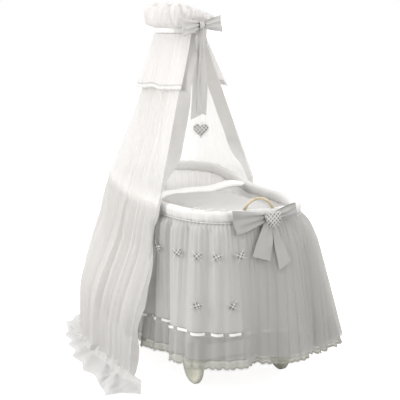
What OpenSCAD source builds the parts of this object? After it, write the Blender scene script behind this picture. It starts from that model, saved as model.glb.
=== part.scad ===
// Dressed wicker bassinet on a wheeled stand, with a draped canopy.
// Millimetres. X is across the basket, +Y runs towards the head end, +Z is up.
// The origin is on the floor, under the middle of the basket.

/* [Basket] */
// Half length of the rim, to the middle of the padded roll
rim_half_len = 500; // [420:10:600]
// Half width of the rim, to the middle of the padded roll
rim_half_wid = 264; // [220:4:320]
// Squareness of the rim outline, 2 is an ellipse
rim_square = 3.5; // [2.4:0.1:4.5]
// Height of the rim's crest along the foot end
rim_foot_z = 708; // [600:2:850]
// How much higher the rim stands at the head end
head_rise = 50; // [0:5:120]
// Where the rim starts to rise, along Y
rise_start = -20; // [-150:10:100]
// Length over which the rim rises
rise_len = 445; // [300:5:480]
// Height of the underside of the basket
base_z = 460; // [380:5:520]
// Half length of the basket's base
base_half_len = 410; // [340:5:480]
// Half width of the basket's base
base_half_wid = 190; // [160:5:240]
// Thickness of the woven wall
wall_t = 10; // [6:1:14]
// Thickness of the base board
board_t = 10; // [6:1:16]

/* [Padding and bedding] */
// Height of the padded roll on the rim
roll_h = 44; // [30:1:60]
// Width of the padded roll on the rim
roll_w = 40; // [26:1:56]
// Thickness of the gathered lining
lining_t = 5; // [3:1:8]
// Thickness of the mattress
mattress_t = 90; // [50:5:110]
// Length of the pillow along Y
pillow_len = 190; // [140:5:220]
// Thickness of the pillow at its crown
pillow_t = 62; // [40:2:80]
// Height of the coverlet's crown above the mattress
coverlet_h = 128; // [60:2:140]
// Where the coverlet's turned-down head edge lies, along Y
coverlet_head_y = 205; // [100:5:260]

/* [Skirt] */
// Height of the hem above the floor
hem_z = 140; // [60:5:200]
// How far the hem stands out past the rim at the foot and head
flare_end = 135; // [60:5:180]
// How far the hem stands out past the rim on the left
flare_left = 88; // [50:2:140]
// How far the hem stands out past the rim on the right
flare_right = 150; // [60:5:180]
// Height of the lower flounce, lace included
flounce_h = 132; // [80:2:180]
// Height of the lace edging
lace_h = 36; // [20:2:50]
// Thickness of the gathered skirt
skirt_t = 10; // [6:1:16]
// Width of the satin ribbon
ribbon_w = 12; // [6:1:20]
// Side of a small checked motif
motif_size = 30; // [20:2:44]

/* [Canopy] */
// Where the ring is, along Y
ring_y = 200; // [120:5:260]
// Height of the neck of the veil
neck_z = 1352; // [1200:4:1500]
// Radius of the neck
neck_r = 108; // [80:2:140]
// Direction that the veil's opening faces, turned from the foot towards the right
opening_turn = 24; // [-30:2:40]
// Radius of the crown ruffle
crown_r = 164; // [130:2:200]
// Height of the crown ruffle above the neck band
crown_h = 108; // [70:2:140]
// Length of the valance below the neck
valance_len = 226; // [150:4:280]
// Thickness of the gathered veil
veil_t = 7; // [4:1:12]
// How far the veil swells out beside its right front edge
side_swell = 66; // [0:4:80]
// Share of the veil taken by each front border
border_share = 0.045; // [0.03:0.005:0.07]
// Diameter of the canopy rod
rod_d = 12; // [8:1:16]
// How far the rod can be raised
rod_travel = 60; // [20:5:80]

/* [Stand] */
// Half distance between the axles
axle_half_base = 336; // [280:4:380]
// Half distance between the outer faces of the wheels
track_half = 204; // [180:2:240]
// Diameter of a wheel with its tyre
wheel_d = 164; // [120:2:200]
// Width of a wheel
wheel_w = 20; // [16:1:34]
// Diameter of an axle
axle_d = 10; // [8:1:14]
// Side of a leg
leg_w = 34; // [26:1:44]
// Height of the rails
rail_h = 42; // [30:2:60]
// Thickness of the rails
rail_t = 22; // [16:1:30]
// Diameter of the locating pegs
peg_d = 12; // [8:1:16]

/* [Hidden] */
$fn = 48;

// Fits
run_gap = 0.05;      // running fit, on the radius
lift_gap = 0.4;      // loose fit that lifts apart, on the radius
soft_gap = 0.6;      // between soft pieces of one body
cloth_gap = 3;       // between cloth and whatever moves past it
wood_gap = 0.2;      // between pieces of the stand, and round a bolt

// Steps round the basket, and up the cloth
round_steps = 64;
skirt_steps = 5;
veil_steps = 54;

wheel_r = wheel_d / 2;
axle_r = axle_d / 2;
rod_r = rod_d / 2;
peg_r = peg_d / 2;
hem_top = hem_z + lace_h;
flounce_top = hem_z + flounce_h;
mattress_z = base_z + board_t;
mattress_top = mattress_z + mattress_t;
stand_top = base_z - 20;
bearer_h = base_z - stand_top;
bearer_y = axle_half_base;
leg_x = track_half - wheel_w - 6 - leg_w / 2;
ivory = "#e6e0cf";
cream = "#d6d3bd";
white_cloth = "#ece8e4";
voile = "#dcd8d2";
taffeta = "#bdb9b1";
cane = "#c8a26a";

function smooth(x) = let (t = max(0, min(1, x))) t * t * (3 - 2 * t);
function crest(y) = rim_foot_z + head_rise * smooth((y - rise_start) / rise_len);
function seam(y) = crest(y) - roll_h - soft_gap;

// A point of a rounded oblong outline at angle t, with its own half size on each side
function outline(t, left, right, foot, head) =
  let (c = cos(t), s = sin(t), w = c > 0 ? right : left, h = s > 0 ? head : foot,
       r = pow(pow(abs(c) / w, rim_square) + pow(abs(s) / h, rim_square), -1 / rim_square))
  [r * c, r * s];
function even(t, grow) = outline(t, rim_half_wid + grow, rim_half_wid + grow,
                                 rim_half_len + grow, rim_half_len + grow);
function turn(i) = 360 * i / round_steps;

// The skirt leaves the rim steeply and hangs straighter lower down
flare_power = 0.7;
skirt_start = roll_w / 2 + 2;
function drop(z, top) = pow(max(0, min(1, (top - z) / (top - hem_z))), flare_power);
function flared(t, z, grow) =
  let (top = seam(even(t, 0)[1]), k = drop(z, top), s = skirt_start + grow,
       l = s + (flare_left - skirt_start) * k, r = s + (flare_right - skirt_start) * k,
       e = s + (flare_end - skirt_start) * k)
  outline(t, rim_half_wid + l, rim_half_wid + r, rim_half_len + e, rim_half_len + e);
function at_height(p, z) = [p[0], p[1], z];

// A solid swept through cross-sections, p[i] being the ring of points of section i.
// A closed sweep runs anticlockwise seen from above, an open one clockwise.
module swept(p, closed) {
  n = len(p);
  m = len(p[0]);
  half = m / 2;
  sides = [for (i = [0 : closed ? n - 1 : n - 2], j = [0 : m - 1])
           let (a = i * m + j, d = i * m + (j + 1) % m,
                b = ((i + 1) % n) * m + j, c = ((i + 1) % n) * m + (j + 1) % m)
           each closed ? [[a, c, b], [a, d, c]] : [[a, b, c], [a, c, d]]];
  last = (n - 1) * m;
  ends = closed ? [] : [for (k = [0 : half - 2])
         let (o = k, q = k + 1, i2 = m - 2 - k, i1 = m - 1 - k)
         each [[o, q, i2], [o, i2, i1],
               [last + o, last + i2, last + q], [last + o, last + i1, last + i2]]];
  polyhedron(points = [for (s = p) each s], faces = concat(sides, ends), convexity = 8);
}

// A closed solid of stacked outlines, flat below and above
module stacked(p) {
  n = len(p);
  m = len(p[0]);
  sides = [for (i = [0 : n - 2], j = [0 : m - 1])
           let (a = i * m + j, d = i * m + (j + 1) % m, b = a + m, c = d + m)
           each [[a, b, c], [a, c, d]]];
  bottom = [for (j = [0 : m - 1]) j];
  top = [for (j = [m - 1 : -1 : 0]) (n - 1) * m + j];
  polyhedron(points = [for (s = p) each s], faces = concat([bottom], sides, [top]), convexity = 4);
}

// ---------------------------------------------------------------- stand

module leg(sx, sy) {
  color(ivory)
  difference() {
    translate([sx * leg_x, sy * axle_half_base, 0])
      union() {
        translate([-leg_w / 2, -leg_w / 2, wheel_r])
          cube([leg_w, leg_w, stand_top - wheel_r]);
        translate([-leg_w / 2, 0, wheel_r]) rotate([0, 90, 0])
          cylinder(r = leg_w / 2, h = leg_w);
      }
    translate([sx * leg_x - leg_w, sy * axle_half_base, wheel_r]) rotate([0, 90, 0])
      cylinder(r = axle_r + wood_gap, h = 2 * leg_w);
    bolt_holes();
  }
}

module rail_bar(from, size) {
  difference() {
    translate(from) cube(size);
    bolt_holes();
  }
}

rail_z = stand_top - rail_h;
side_len = 2 * (axle_half_base - leg_w / 2 - wood_gap);
end_len = 2 * (leg_x - leg_w / 2 - wood_gap);

module side_rail(sx)
  color(ivory) rail_bar([sx * leg_x - rail_t / 2, -side_len / 2, rail_z], [rail_t, side_len, rail_h]);

module end_rail(sy)
  color(ivory) difference() {
    rail_bar([-end_len / 2, sy * axle_half_base - rail_t / 2, rail_z], [end_len, rail_t, rail_h]);
    peg_set() cylinder(r = peg_r + wood_gap, h = 2 * stand_top + 10, center = true);
  }

stretcher_z = 150;
module stretcher(sy)
  color(ivory) rail_bar([-end_len / 2, sy * axle_half_base - rail_t / 2, stretcher_z],
                        [end_len, rail_t, stretcher_h]);
stretcher_h = 28;

// Two locating pegs on each end rail
peg_x = 70;
peg_up = 14;
module peg_set()
  for (sx = [-1, 1], sy = [-1, 1])
    translate([sx * peg_x, sy * bearer_y, 0]) children();

module locating_pegs()
  color(cane) peg_set() translate([0, 0, stand_top - 24])
    intersection() {
      cylinder(r = peg_r, h = 24 + peg_up);
      cylinder(r1 = peg_r + 24 + peg_up - 1.5, r2 = peg_r - 1.5, h = 24 + peg_up);
    }

// Bolts through the legs into the rails: side rails from the ends, end rails from the sides
bolt_r = 3;
head_r = 6;
bolt_len = 50;
rail_mid = rail_z + rail_h / 2;
module bolt_places() {
  for (sx = [-1, 1], sy = [-1, 1]) {
    translate([sx * leg_x, sy * (axle_half_base + leg_w / 2), rail_mid + 8])
      rotate([sy * 90, 0, 0]) children();
    for (z = [rail_mid - 8, stretcher_z + stretcher_h / 2])
      translate([sx * (leg_x + leg_w / 2), sy * axle_half_base, z])
        rotate([0, -sx * 90, 0]) children();
  }
}
module bolt_holes()
  bolt_places() translate([0, 0, -1]) cylinder(r = bolt_r + wood_gap, h = bolt_len + 2);

module stand_bolts()
  color("#b9b9b4") bolt_places() {
    cylinder(r = bolt_r, h = bolt_len);
    translate([0, 0, -3]) difference() {
      cylinder(r = head_r, h = 3);
      translate([0, 0, -1]) cylinder(r = 2, h = 3);
    }
  }

axle_half = track_half + 9;
module axle(sy)
  color("#b9b9b4") translate([-axle_half, sy * axle_half_base, wheel_r]) rotate([0, 90, 0])
    cylinder(r = axle_r, h = 2 * axle_half);

module axle_caps()
  color(cream) for (sx = [-1, 1], sy = [-1, 1])
    translate([sx * (track_half + 1), sy * axle_half_base, wheel_r]) rotate([0, sx * 90, 0])
      difference() {
        union() {
          cylinder(r = 13, h = 6);
          translate([0, 0, 6]) cylinder(r1 = 13, r2 = 9, h = 5);
        }
        translate([0, 0, -1]) cylinder(r = axle_r + run_gap, h = axle_half - track_half + 0.5);
      }

// Outline of the wheel's disc, from the hub out: thick hub, thin web, rim that holds the tyre
hub_r = 20;
tyre_h = 13;
web_t = 7;
module wheel(sx, sy)
  color(cream) translate([sx * (track_half - wheel_w / 2), sy * axle_half_base, wheel_r])
    rotate([0, 90, 0]) difference() {
      rotate_extrude($fn = 96) polygon([
        [axle_r + run_gap, -wheel_w / 2 - 4 * (sx > 0 ? 1 : 0)],
        [hub_r, -wheel_w / 2 - 4 * (sx > 0 ? 1 : 0)],
        [hub_r + 3, -web_t / 2 - 2], [wheel_r - tyre_h - 12, -web_t / 2],
        [wheel_r - tyre_h - 5, -wheel_w / 2 + 1], [wheel_r - tyre_h, -wheel_w / 2 + 1],
        [wheel_r - tyre_h, wheel_w / 2 - 1], [wheel_r - tyre_h - 5, wheel_w / 2 - 1],
        [wheel_r - tyre_h - 12, web_t / 2], [hub_r + 3, web_t / 2 + 2],
        [hub_r, wheel_w / 2 + 4 * (sx > 0 ? 0 : 1)],
        [axle_r + run_gap, wheel_w / 2 + 4 * (sx > 0 ? 0 : 1)]]);
    }

module tyre(sx, sy)
  color("#cfcdb8") translate([sx * (track_half - wheel_w / 2), sy * axle_half_base, wheel_r])
    rotate([0, 90, 0]) rotate_extrude($fn = 96) polygon([
      [wheel_r - tyre_h, -wheel_w / 2 + 1], [wheel_r - 8, -wheel_w / 2],
      [wheel_r - 3, -wheel_w / 2 + 1.5], [wheel_r, -wheel_w / 2 + 5],
      [wheel_r, wheel_w / 2 - 5], [wheel_r - 3, wheel_w / 2 - 1.5],
      [wheel_r - 8, wheel_w / 2], [wheel_r - tyre_h, wheel_w / 2 - 1]]);

// The brake: a bracket on each rear leg, a pin through it, and a foot lever with a shoe
brake_y = axle_half_base + leg_w / 2 + 14;
brake_z = wheel_d + 20;
brake_x = leg_x + leg_w / 2 + 1 + wheel_w / 2 + 5;
ear_t = 3;
lever_w = 14;
pin_r = 3;
module brake_side() for (m = [0, 1]) mirror([m, 0, 0]) translate([brake_x, 0, 0]) children();

module brake_brackets()
  color("#b9b9b4") brake_side() difference() {
    union() {
      for (s = [-1, 1])
        translate([s * (lever_w / 2 + ear_t / 2 + 0.5) - ear_t / 2, brake_y - 28, brake_z - 9])
          cube([ear_t, 38, 18]);
      translate([leg_x + leg_w / 2 - brake_x, brake_y - 28, brake_z - 9])
        cube([lever_w / 2 + ear_t + 0.5 + brake_x - leg_x - leg_w / 2, 3, 18]);
    }
    translate([-20, brake_y, brake_z]) rotate([0, 90, 0]) cylinder(r = pin_r + wood_gap, h = 40);
  }

module brake_pins()
  color("#8f8f8b") brake_side() translate([-lever_w / 2 - ear_t - 2, brake_y, brake_z])
    rotate([0, 90, 0]) cylinder(r = pin_r, h = lever_w + 2 * ear_t + 4);

module brake_lever(sx)
  color("#c9c6b4") translate([sx * brake_x, brake_y, brake_z]) difference() {
    translate([-lever_w / 2, 0, 0]) {
      rotate([0, 90, 0]) cylinder(r = 8, h = lever_w);
      rotate([90, 0, 90]) linear_extrude(lever_w)
        polygon([[4, 5], [20, 13], [54, 20], [55, 14], [22, 5], [5, -4]]);
      rotate([90, 0, 90]) linear_extrude(lever_w)
        polygon([[-4, -5], [5, -4], [15, -17], [4, -23]]);
    }
    translate([-lever_w, 0, 0]) rotate([0, 90, 0]) cylinder(r = pin_r + run_gap, h = 2 * lever_w);
  }

// ---------------------------------------------------------------- basket

// Wall of the basket: inner and outer outline at the base and just under the padded roll
wall_steps = 3;
function wall_at(t, f, grow) = outline(t,
  base_half_wid + f * (rim_half_wid + wall_t / 2 - base_half_wid) + grow,
  base_half_wid + f * (rim_half_wid + wall_t / 2 - base_half_wid) + grow,
  base_half_len + f * (rim_half_len + wall_t / 2 - base_half_len) + grow,
  base_half_len + f * (rim_half_len + wall_t / 2 - base_half_len) + grow);
function wall_z(t, f) = base_z + f * (seam(even(t, 0)[1]) - base_z);
function wall_section(t) = concat(
  [for (k = [0 : wall_steps]) at_height(wall_at(t, k / wall_steps, 0), wall_z(t, k / wall_steps))],
  [for (k = [wall_steps : -1 : 0])
     at_height(wall_at(t, k / wall_steps, -wall_t), wall_z(t, k / wall_steps))]);

module basket_wall()
  color(cane) difference() {
    swept([for (i = [0 : round_steps - 1]) wall_section(turn(i))], true);
    handle_path(handle_r + run_gap);
    for (x = bracket_screws_x)
      translate([x, socket_y, bracket_z]) rotate([-90, 0, 0]) cylinder(r = 2.2, h = 100);
  }

module basket_base()
  color(cane) difference() {
    translate([0, 0, base_z]) linear_extrude(board_t)
      polygon([for (i = [0 : round_steps - 1]) wall_at(turn(i), 0, -wall_t - 0.3)]);
    screw_places() translate([0, 0, -1]) cylinder(r = 2.2, h = 60);
  }

// Bearers under the base that drop over the pegs of the stand
bearer_len = 200;
bearer_w = 46;
module basket_bearers()
  color(cane) difference() {
    for (sy = [-1, 1])
      translate([-bearer_len / 2, sy * bearer_y - bearer_w / 2, stand_top + wood_gap])
        cube([bearer_len, bearer_w, bearer_h - 2 * wood_gap]);
    peg_set() translate([0, 0, stand_top - 1])
      cylinder(r = peg_r + lift_gap, h = peg_up + 1 + lift_gap);
    screw_places() translate([0, 0, -1]) cylinder(r = 2.2, h = 60);
  }

module screw_places()
  for (sx = [-1, 1], sy = [-1, 1])
    translate([sx * 35, sy * bearer_y, stand_top + wood_gap]) children();

bracket_z = 668;
bracket_screws_x = [-22, 22];
bracket_screw_len = 52;
module basket_screws()
  color("#b9b9b4") {
    screw_places() {
      cylinder(r = 2, h = 26);
      translate([0, 0, 0]) cylinder(r1 = 2, r2 = 2, h = 4);
    }
    for (x = bracket_screws_x)
      translate([x, socket_y + 3, bracket_z]) rotate([-90, 0, 0]) {
        cylinder(r = 2, h = bracket_screw_len);
        translate([0, 0, -2]) cylinder(r = 4, h = 2);
      }
  }

// A cane hoop set into the wall at the foot end, to pull the cradle along
handle_r = 6;
handle_half = 65;
handle_above = 47;
handle_depth = 50;
handle_y = -rim_half_len;
handle_top = crest(handle_y) + handle_above;
module handle_path(r) {
  zc = handle_top - handle_half - handle_r;
  low = seam(handle_y) - handle_depth;
  translate([0, handle_y, 0]) {
    translate([0, 0, zc]) rotate([90, 0, 0])
      rotate_extrude(angle = 180, $fn = 96) translate([handle_half, 0]) circle(r = r, $fn = 32);
    for (x = [-1, 1])
      translate([x * handle_half, 0, low]) cylinder(r = r, h = zc - low, $fn = 32);
  }
}
module handle_foot() color(cane) handle_path(handle_r);

// ---------------------------------------------------------------- padding and bedding

roll_steps = 10;
function roll_section(t) =
  let (c = even(t, 0), z = crest(c[1]) - roll_h / 2)
  [for (j = [0 : roll_steps - 1])
     let (a = -90 + 360 * j / roll_steps)
     at_height(even(t, roll_w / 2 * cos(a)), z + roll_h / 2 * sin(a))];

module padded_rim()
  color(white_cloth) difference() {
    swept([for (i = [0 : round_steps - 1]) roll_section(turn(i))], true);
    handle_path(handle_r + soft_gap);
  }

lining_gap = 2;
function lining_section(t) =
  let (low = (mattress_top + 4 - base_z) / (seam(even(t, 0)[1]) - base_z),
       fs = [low, (low + 1) / 2, 0.985])
  concat([for (f = fs) at_height(wall_at(t, f, -wall_t - lining_gap), wall_z(t, f))],
         [for (k = [2 : -1 : 0])
            at_height(wall_at(t, fs[k], -wall_t - lining_gap - lining_t), wall_z(t, fs[k]))]);

module head_lining()
  color(white_cloth) difference() {
    swept([for (i = [0 : round_steps - 1]) lining_section(turn(i))], true);
    translate([-plate_w / 2 - 1, socket_y, bracket_z - plate_h / 2 - 1])
      cube([plate_w + 2, 100, plate_h + 2]);
  }

function bed_at(t, grow) = outline(t, base_half_wid - wall_t + grow, base_half_wid - wall_t + grow,
                                   base_half_len - wall_t + grow, base_half_len - wall_t + grow);

module mattress()
  color("#f1efea") stacked([for (k = [[0, -8], [6, -2], [mattress_t - 6, -2], [mattress_t, -8]])
    [for (i = [0 : round_steps - 1])
       at_height(bed_at(turn(i), k[1]), mattress_z + soft_gap / 2 + k[0] * (1 - soft_gap / 100))]]);

module pillow()
  color(white_cloth) translate([0, coverlet_head_y + 16 + pillow_len / 2 - 30, mattress_top + soft_gap])
    stacked([for (k = [[0, 0.86], [0.25, 1], [0.5, 0.94], [0.8, 0.72], [1, 0.4]])
      [for (i = [0 : 47]) at_height(
         k[1] * outline(360 * i / 48, 150, 150, pillow_len / 2 - 8, pillow_len / 2 - 8),
         k[0] * pillow_t)]]);

// The coverlet lies over the mattress from the foot end up to its turned-down edge
coverlet_mid = (coverlet_head_y - base_half_len + 4) / 2 - 16;
coverlet_half = coverlet_head_y - 30 - coverlet_mid;
module coverlet()
  color("#e4e1dc") translate([0, coverlet_mid, mattress_top + soft_gap])
    stacked([for (k = [[0, 0.86], [0.3, 0.99], [0.62, 1], [0.85, 0.9], [1, 0.66]])
      [for (i = [0 : 47]) at_height(
         k[1] * outline(360 * i / 48, base_half_wid - 8, base_half_wid - 8, coverlet_half, coverlet_half),
         k[0] * coverlet_h)]]);

// ---------------------------------------------------------------- skirt

// A hanging band of cloth between two heights, grown outwards by an offset
function hanging(t, low, high, grow, thick, steps) = concat(
  [for (k = [0 : steps]) let (z = low + (high - low) * k / steps) at_height(flared(t, z, grow), z)],
  [for (k = [steps : -1 : 0]) let (z = low + (high - low) * k / steps)
     at_height(flared(t, z, grow - thick), z)]);

module skirt_upper()
  color(voile) swept([for (i = [0 : round_steps - 1])
    hanging(turn(i), flounce_top, seam(even(turn(i), 0)[1]) - 4, 0, skirt_t, skirt_steps)], true);

module skirt_flounce()
  color(voile) swept([for (i = [0 : round_steps - 1])
    hanging(turn(i), hem_top, flounce_top - soft_gap, 0, skirt_t, 3)], true);

module hem_lace()
  color("#b9b69f") swept([for (i = [0 : round_steps - 1])
    hanging(turn(i), hem_z, hem_top - soft_gap, -2, skirt_t - 5, 1)], true);

module skirt_ribbon()
  color("#f4f2ee") swept([for (i = [0 : round_steps - 1])
    hanging(turn(i), flounce_top - ribbon_w, flounce_top, soft_gap + 1.2, 1.2, 1)], true);

// Small checked motifs, a row near the waist and one above the ribbon:
// height, first angle, step and last angle of each row
motif_rows = [[590, -140, 13, -34], [385, -136, 22, -34]];
motif_off = 7.5;
module motif(t, z) {
  p = flared(t, z, soft_gap);
  q = flared(t + 2, z, soft_gap);
  up = flared(t, z + 20, soft_gap);
  lean = atan2(norm(p) - norm(up), 20);
  translate([p[0], p[1], z]) rotate([0, 0, atan2(q[1] - p[1], q[0] - p[0])])
    rotate([lean, 0, 0]) rotate([90, 0, 0]) translate([0, 0, motif_off])
      linear_extrude(1.5) union() {
        square(motif_size * 0.6, center = true);
        for (a = [0, 90]) rotate(45 + a) square([motif_size, 4], center = true);
      }
}
module skirt_motifs()
  color("#6d6b66") for (row = motif_rows, a = [row[1] : row[2] : row[3]])
    if (abs(a + 88) > 8 || row[0] < 500) motif(a, row[0]);

// ---------------------------------------------------------------- bows

// A flat loop of a bow, drawn in XZ and wider at its outer end
module bow_loop(sx, len, high, low, thick)
  hull() {
    translate([sx * 6, 0, 0]) rotate([90, 0, 0]) cylinder(r = 9, h = thick, center = true, $fn = 24);
    translate([sx * len, 0, high]) rotate([90, 0, 0])
      cylinder(r = 5, h = thick, center = true, $fn = 24);
    translate([sx * (len - 8), 0, low]) rotate([90, 0, 0])
      cylinder(r = 5, h = thick, center = true, $fn = 24);
  }

foot_bow_z = 682;
foot_bow_y = -(rim_half_len + roll_w / 2 + 28);
function tail_point(t, z, side) = at_height(flared(t, z, cloth_gap + side), z);
function tail_section(t, low, high) = concat(
  [for (k = [0 : 4]) tail_point(t, low + (high - low) * k / 4, 4)],
  [for (k = [4 : -1 : 0]) tail_point(t, low + (high - low) * k / 4, 0)]);

module foot_bow()
  color(taffeta) {
    translate([28, foot_bow_y, foot_bow_z]) {
      bow_loop(-1, 158, 22, -52, 16);
      bow_loop(1, 112, 24, -28, 16);
    }
    for (tail = [[269, 265, 510], [276, 272, 504]])
      swept([for (t = [tail[0], (tail[0] + tail[1]) / 2, tail[1]])
             tail_section(t, tail[2], foot_bow_z - 66)], false);
  }

// A heart drawn by two round lobes and a point
module heart(size, thick)
  rotate([90, 0, 0]) linear_extrude(thick, center = true) union() {
    for (s = [-1, 1]) translate([s * size * 0.24, size * 0.2]) circle(r = size * 0.27);
    polygon([[-size * 0.5, size * 0.15], [0, -size * 0.5], [size * 0.5, size * 0.15], [0, size * 0.35]]);
  }

module foot_bow_heart()
  color("#7b7973") translate([28, foot_bow_y - 15, foot_bow_z]) heart(62, 13);

// ---------------------------------------------------------------- canopy

socket_y = rim_half_len - 70;
socket_high = crest(rim_half_len) - 34;
clamp_z = socket_high - 22;
rod_foot_z = clamp_z - rod_travel - 47;
socket_low = rod_foot_z - 5;
socket_r = rod_r + 4;
plate_w = 64;
plate_h = 34;
rod_bend_z = crest(rim_half_len) + 60;
ring_r = neck_r - 12 - rod_r;
ring_y_back = ring_y + ring_r;
ring_z = neck_z - 4;
rod_lean = atan((socket_y - ring_y_back) / (ring_z - rod_bend_z));
ring_grip = 6;

// The bracket's back follows the slope of the wall
function wall_inner_y(z) = wall_at(90, (z - base_z) / (seam(rim_half_len) - base_z), -wall_t)[1];
module pole_bracket()
  color("#b9b9b4") difference() {
    translate([-plate_w / 2, 0, 0]) rotate([90, 0, 90]) linear_extrude(plate_w)
      let (low = bracket_z - plate_h / 2, high = bracket_z + plate_h / 2)
      polygon([[socket_y + 3, low], [wall_inner_y(low) - soft_gap, low],
               [wall_inner_y(high) - soft_gap, high], [socket_y + 3, high]]);
    translate([0, socket_y, bracket_z - plate_h]) cylinder(r = socket_r + run_gap, h = 2 * plate_h);
    for (x = bracket_screws_x)
      translate([x, socket_y, bracket_z]) rotate([-90, 0, 0]) cylinder(r = 2.2, h = 80);
  }

module pole_socket()
  color("#b9b9b4") translate([0, socket_y, 0]) difference() {
    union() {
      translate([0, 0, socket_low]) cylinder(r = socket_r, h = socket_high - socket_low);
      translate([0, 0, clamp_z]) rotate([90, 0, 0]) cylinder(r = 6, h = socket_r + 7);
    }
    translate([0, 0, socket_low + 4]) cylinder(r = rod_r + run_gap, h = 400);
    translate([0, -rod_r, clamp_z]) rotate([90, 0, 0])
      cylinder(r = screw_r + run_gap, h = 60);
  }

screw_r = 2.5;
module clamp_screw()
  color("#8f8f8b") translate([0, socket_y - rod_r - 0.3, clamp_z]) rotate([90, 0, 0]) {
    cylinder(r = screw_r, h = socket_r - rod_r + 10);
    translate([0, 0, socket_r - rod_r + 8]) difference() {
      cylinder(r = 9, h = 9);
      for (a = [0 : 45 : 315]) rotate(a) translate([10, 0, -1]) cylinder(r = 2, h = 11, $fn = 16);
    }
  }

// The rod stands in the socket, is bent at a bead and leans up to the ring
lean_len = norm([socket_y - ring_y_back, ring_z - rod_bend_z]) - ring_grip - 0.3;
module canopy_pole()
  color("#d8d6d0") translate([0, socket_y, 0]) {
    translate([0, 0, rod_foot_z]) cylinder(r = rod_r, h = rod_bend_z - rod_foot_z);
    translate([0, 0, rod_bend_z]) {
      sphere(r = rod_r + 1);
      rotate([rod_lean, 0, 0]) cylinder(r = rod_r, h = lean_len);
    }
  }

module canopy_ring()
  color("#d8d6d0") difference() {
    union() {
      translate([0, ring_y, ring_z]) rotate_extrude($fn = 96)
        translate([ring_r, 0]) circle(r = 4, $fn = 24);
      at_ring_back() translate([0, 0, -20]) cylinder(r = rod_r + 2.5, h = 24);
    }
    at_ring_back() translate([0, 0, -40]) cylinder(r = rod_r + run_gap, h = 40 - ring_grip);
  }
module at_ring_back()
  translate([0, ring_y_back, ring_z]) rotate([rod_lean, 0, 0]) children();

// The veil's surface. u runs from the left front edge round the head to the right front edge,
// z is the height and grow moves the surface outwards.
neck_left = opening_turn + 264;
neck_sweep = 348;
rim_left = 213;
floor_left = 202;
bend_u = 0.93;
rim_sweep = 193.5;
edge_sweep = 86;
floor_sweep = 181;
veil_floor = 14;
function neck_point(u, grow) =
  let (t = neck_left - neck_sweep * u)
  [(neck_r + grow) * cos(t), ring_y + (neck_r + grow) * sin(t)];
// Past bend_u the veil turns in towards the rim, so it goes round more slowly
function rim_turn(u) = rim_left - rim_sweep * min(u, bend_u) - edge_sweep * max(0, u - bend_u);
function veil_turn(u, z) =
  let (k = max(0, min(1, (rim_foot_z - z) / rim_foot_z)), t = rim_turn(u))
  t + (floor_left - floor_sweep * u - t) * k;
function rim_level(u) = crest(even(rim_turn(u), 0)[1]) - roll_h / 2;
function swell(u, z) = side_swell * smooth((1 - u) / (1 - bend_u)) * smooth((u - 0.6) / 0.22)
  * (1 - smooth((rim_level(u) - z) / 320));
function veil_point(u, z, grow) =
  let (zr = rim_level(u), t = veil_turn(u, min(z, zr)),
       off = cloth_gap + veil_t + grow + swell(u, min(z, zr)))
  z <= zr ? flared(t, min(z, zr - 0.01), off)
  : let (k = (z - zr) / (neck_z - zr), a = flared(t, zr, off), b = neck_point(u, grow))
    a + (b - a) * k;
function veil_heights(u, low, high) =
  let (zr = rim_level(u))
  low > zr ? [for (k = [0 : 4]) low + (high - low) * k / 4]
  : concat([for (k = [0 : 6]) low + (zr - low) * k / 6], [for (k = [1 : 6]) zr + (high - zr) * k / 6]);
function veil_section(u, low, high, grow, thick) =
  let (zs = veil_heights(u, low, high))
  concat([for (z = zs) at_height(veil_point(u, z, grow), z)],
         [for (k = [len(zs) - 1 : -1 : 0]) at_height(veil_point(u, zs[k], grow - thick), zs[k])]);

module veil_part(from, to, low, high, grow, thick, steps)
  swept([for (i = [0 : steps])
         veil_section(from + (to - from) * i / steps, low, high, grow, thick)], false);

edge = 0.002;
module veil()
  color(white_cloth)
    veil_part(border_share + edge, 1 - border_share - edge, veil_floor, neck_z - 2, 0, veil_t, veil_steps);
module veil_border_left()
  color(taffeta) veil_part(0, border_share, veil_floor, neck_z - 2, 0, veil_t, 3);
module veil_border_right()
  color(taffeta) veil_part(1 - border_share, 1, veil_floor, neck_z - 2, 0, veil_t, 3);

// The valance stands a little off the veil, and more so at its lace edge
valance_off = 26;
function valance_heights(low, high) = [for (k = [0 : 4]) low + (high - low) * k / 4];
function valance_section(u, grow) =
  let (low = neck_z - valance_len, zs = valance_heights(low, neck_z - 4),
       off = function(z) 2 + valance_off * (neck_z - z) / valance_len)
  concat([for (z = zs) at_height(veil_point(u, z, off(z) + grow), z)],
         [for (k = [4 : -1 : 0]) at_height(veil_point(u, zs[k], off(zs[k])), zs[k])]);
module valance()
  color(white_cloth) swept([for (i = [0 : 40])
    valance_section(border_share + (1 - 2 * border_share) * i / 40, 4)], false);

// The long hem of the veil spreads on the floor at the left
module veil_train()
  color(white_cloth) translate([0, 0, 1]) linear_extrude(veil_floor - 2) difference() {
    polygon([[-348, -150], [-443, -398], [-500, -340], [-572, -345], [-530, -160], [-538, -10],
             [-525, 140], [-492, 280], [-452, 480], [-385, 648], [-330, 716], [-236, 772],
             [-150, 700], [-260, 640], [-360, 400], [-362, 100]]);
  }

band_h = 22;
module neck_band()
  color("#f2efeb") translate([0, ring_y, neck_z]) rotate_extrude($fn = 96)
    polygon([[neck_r - 6, 0], [neck_r + 2, 0], [neck_r + 3, band_h / 2], [neck_r + 2, band_h],
             [neck_r - 6, band_h]]);

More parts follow.
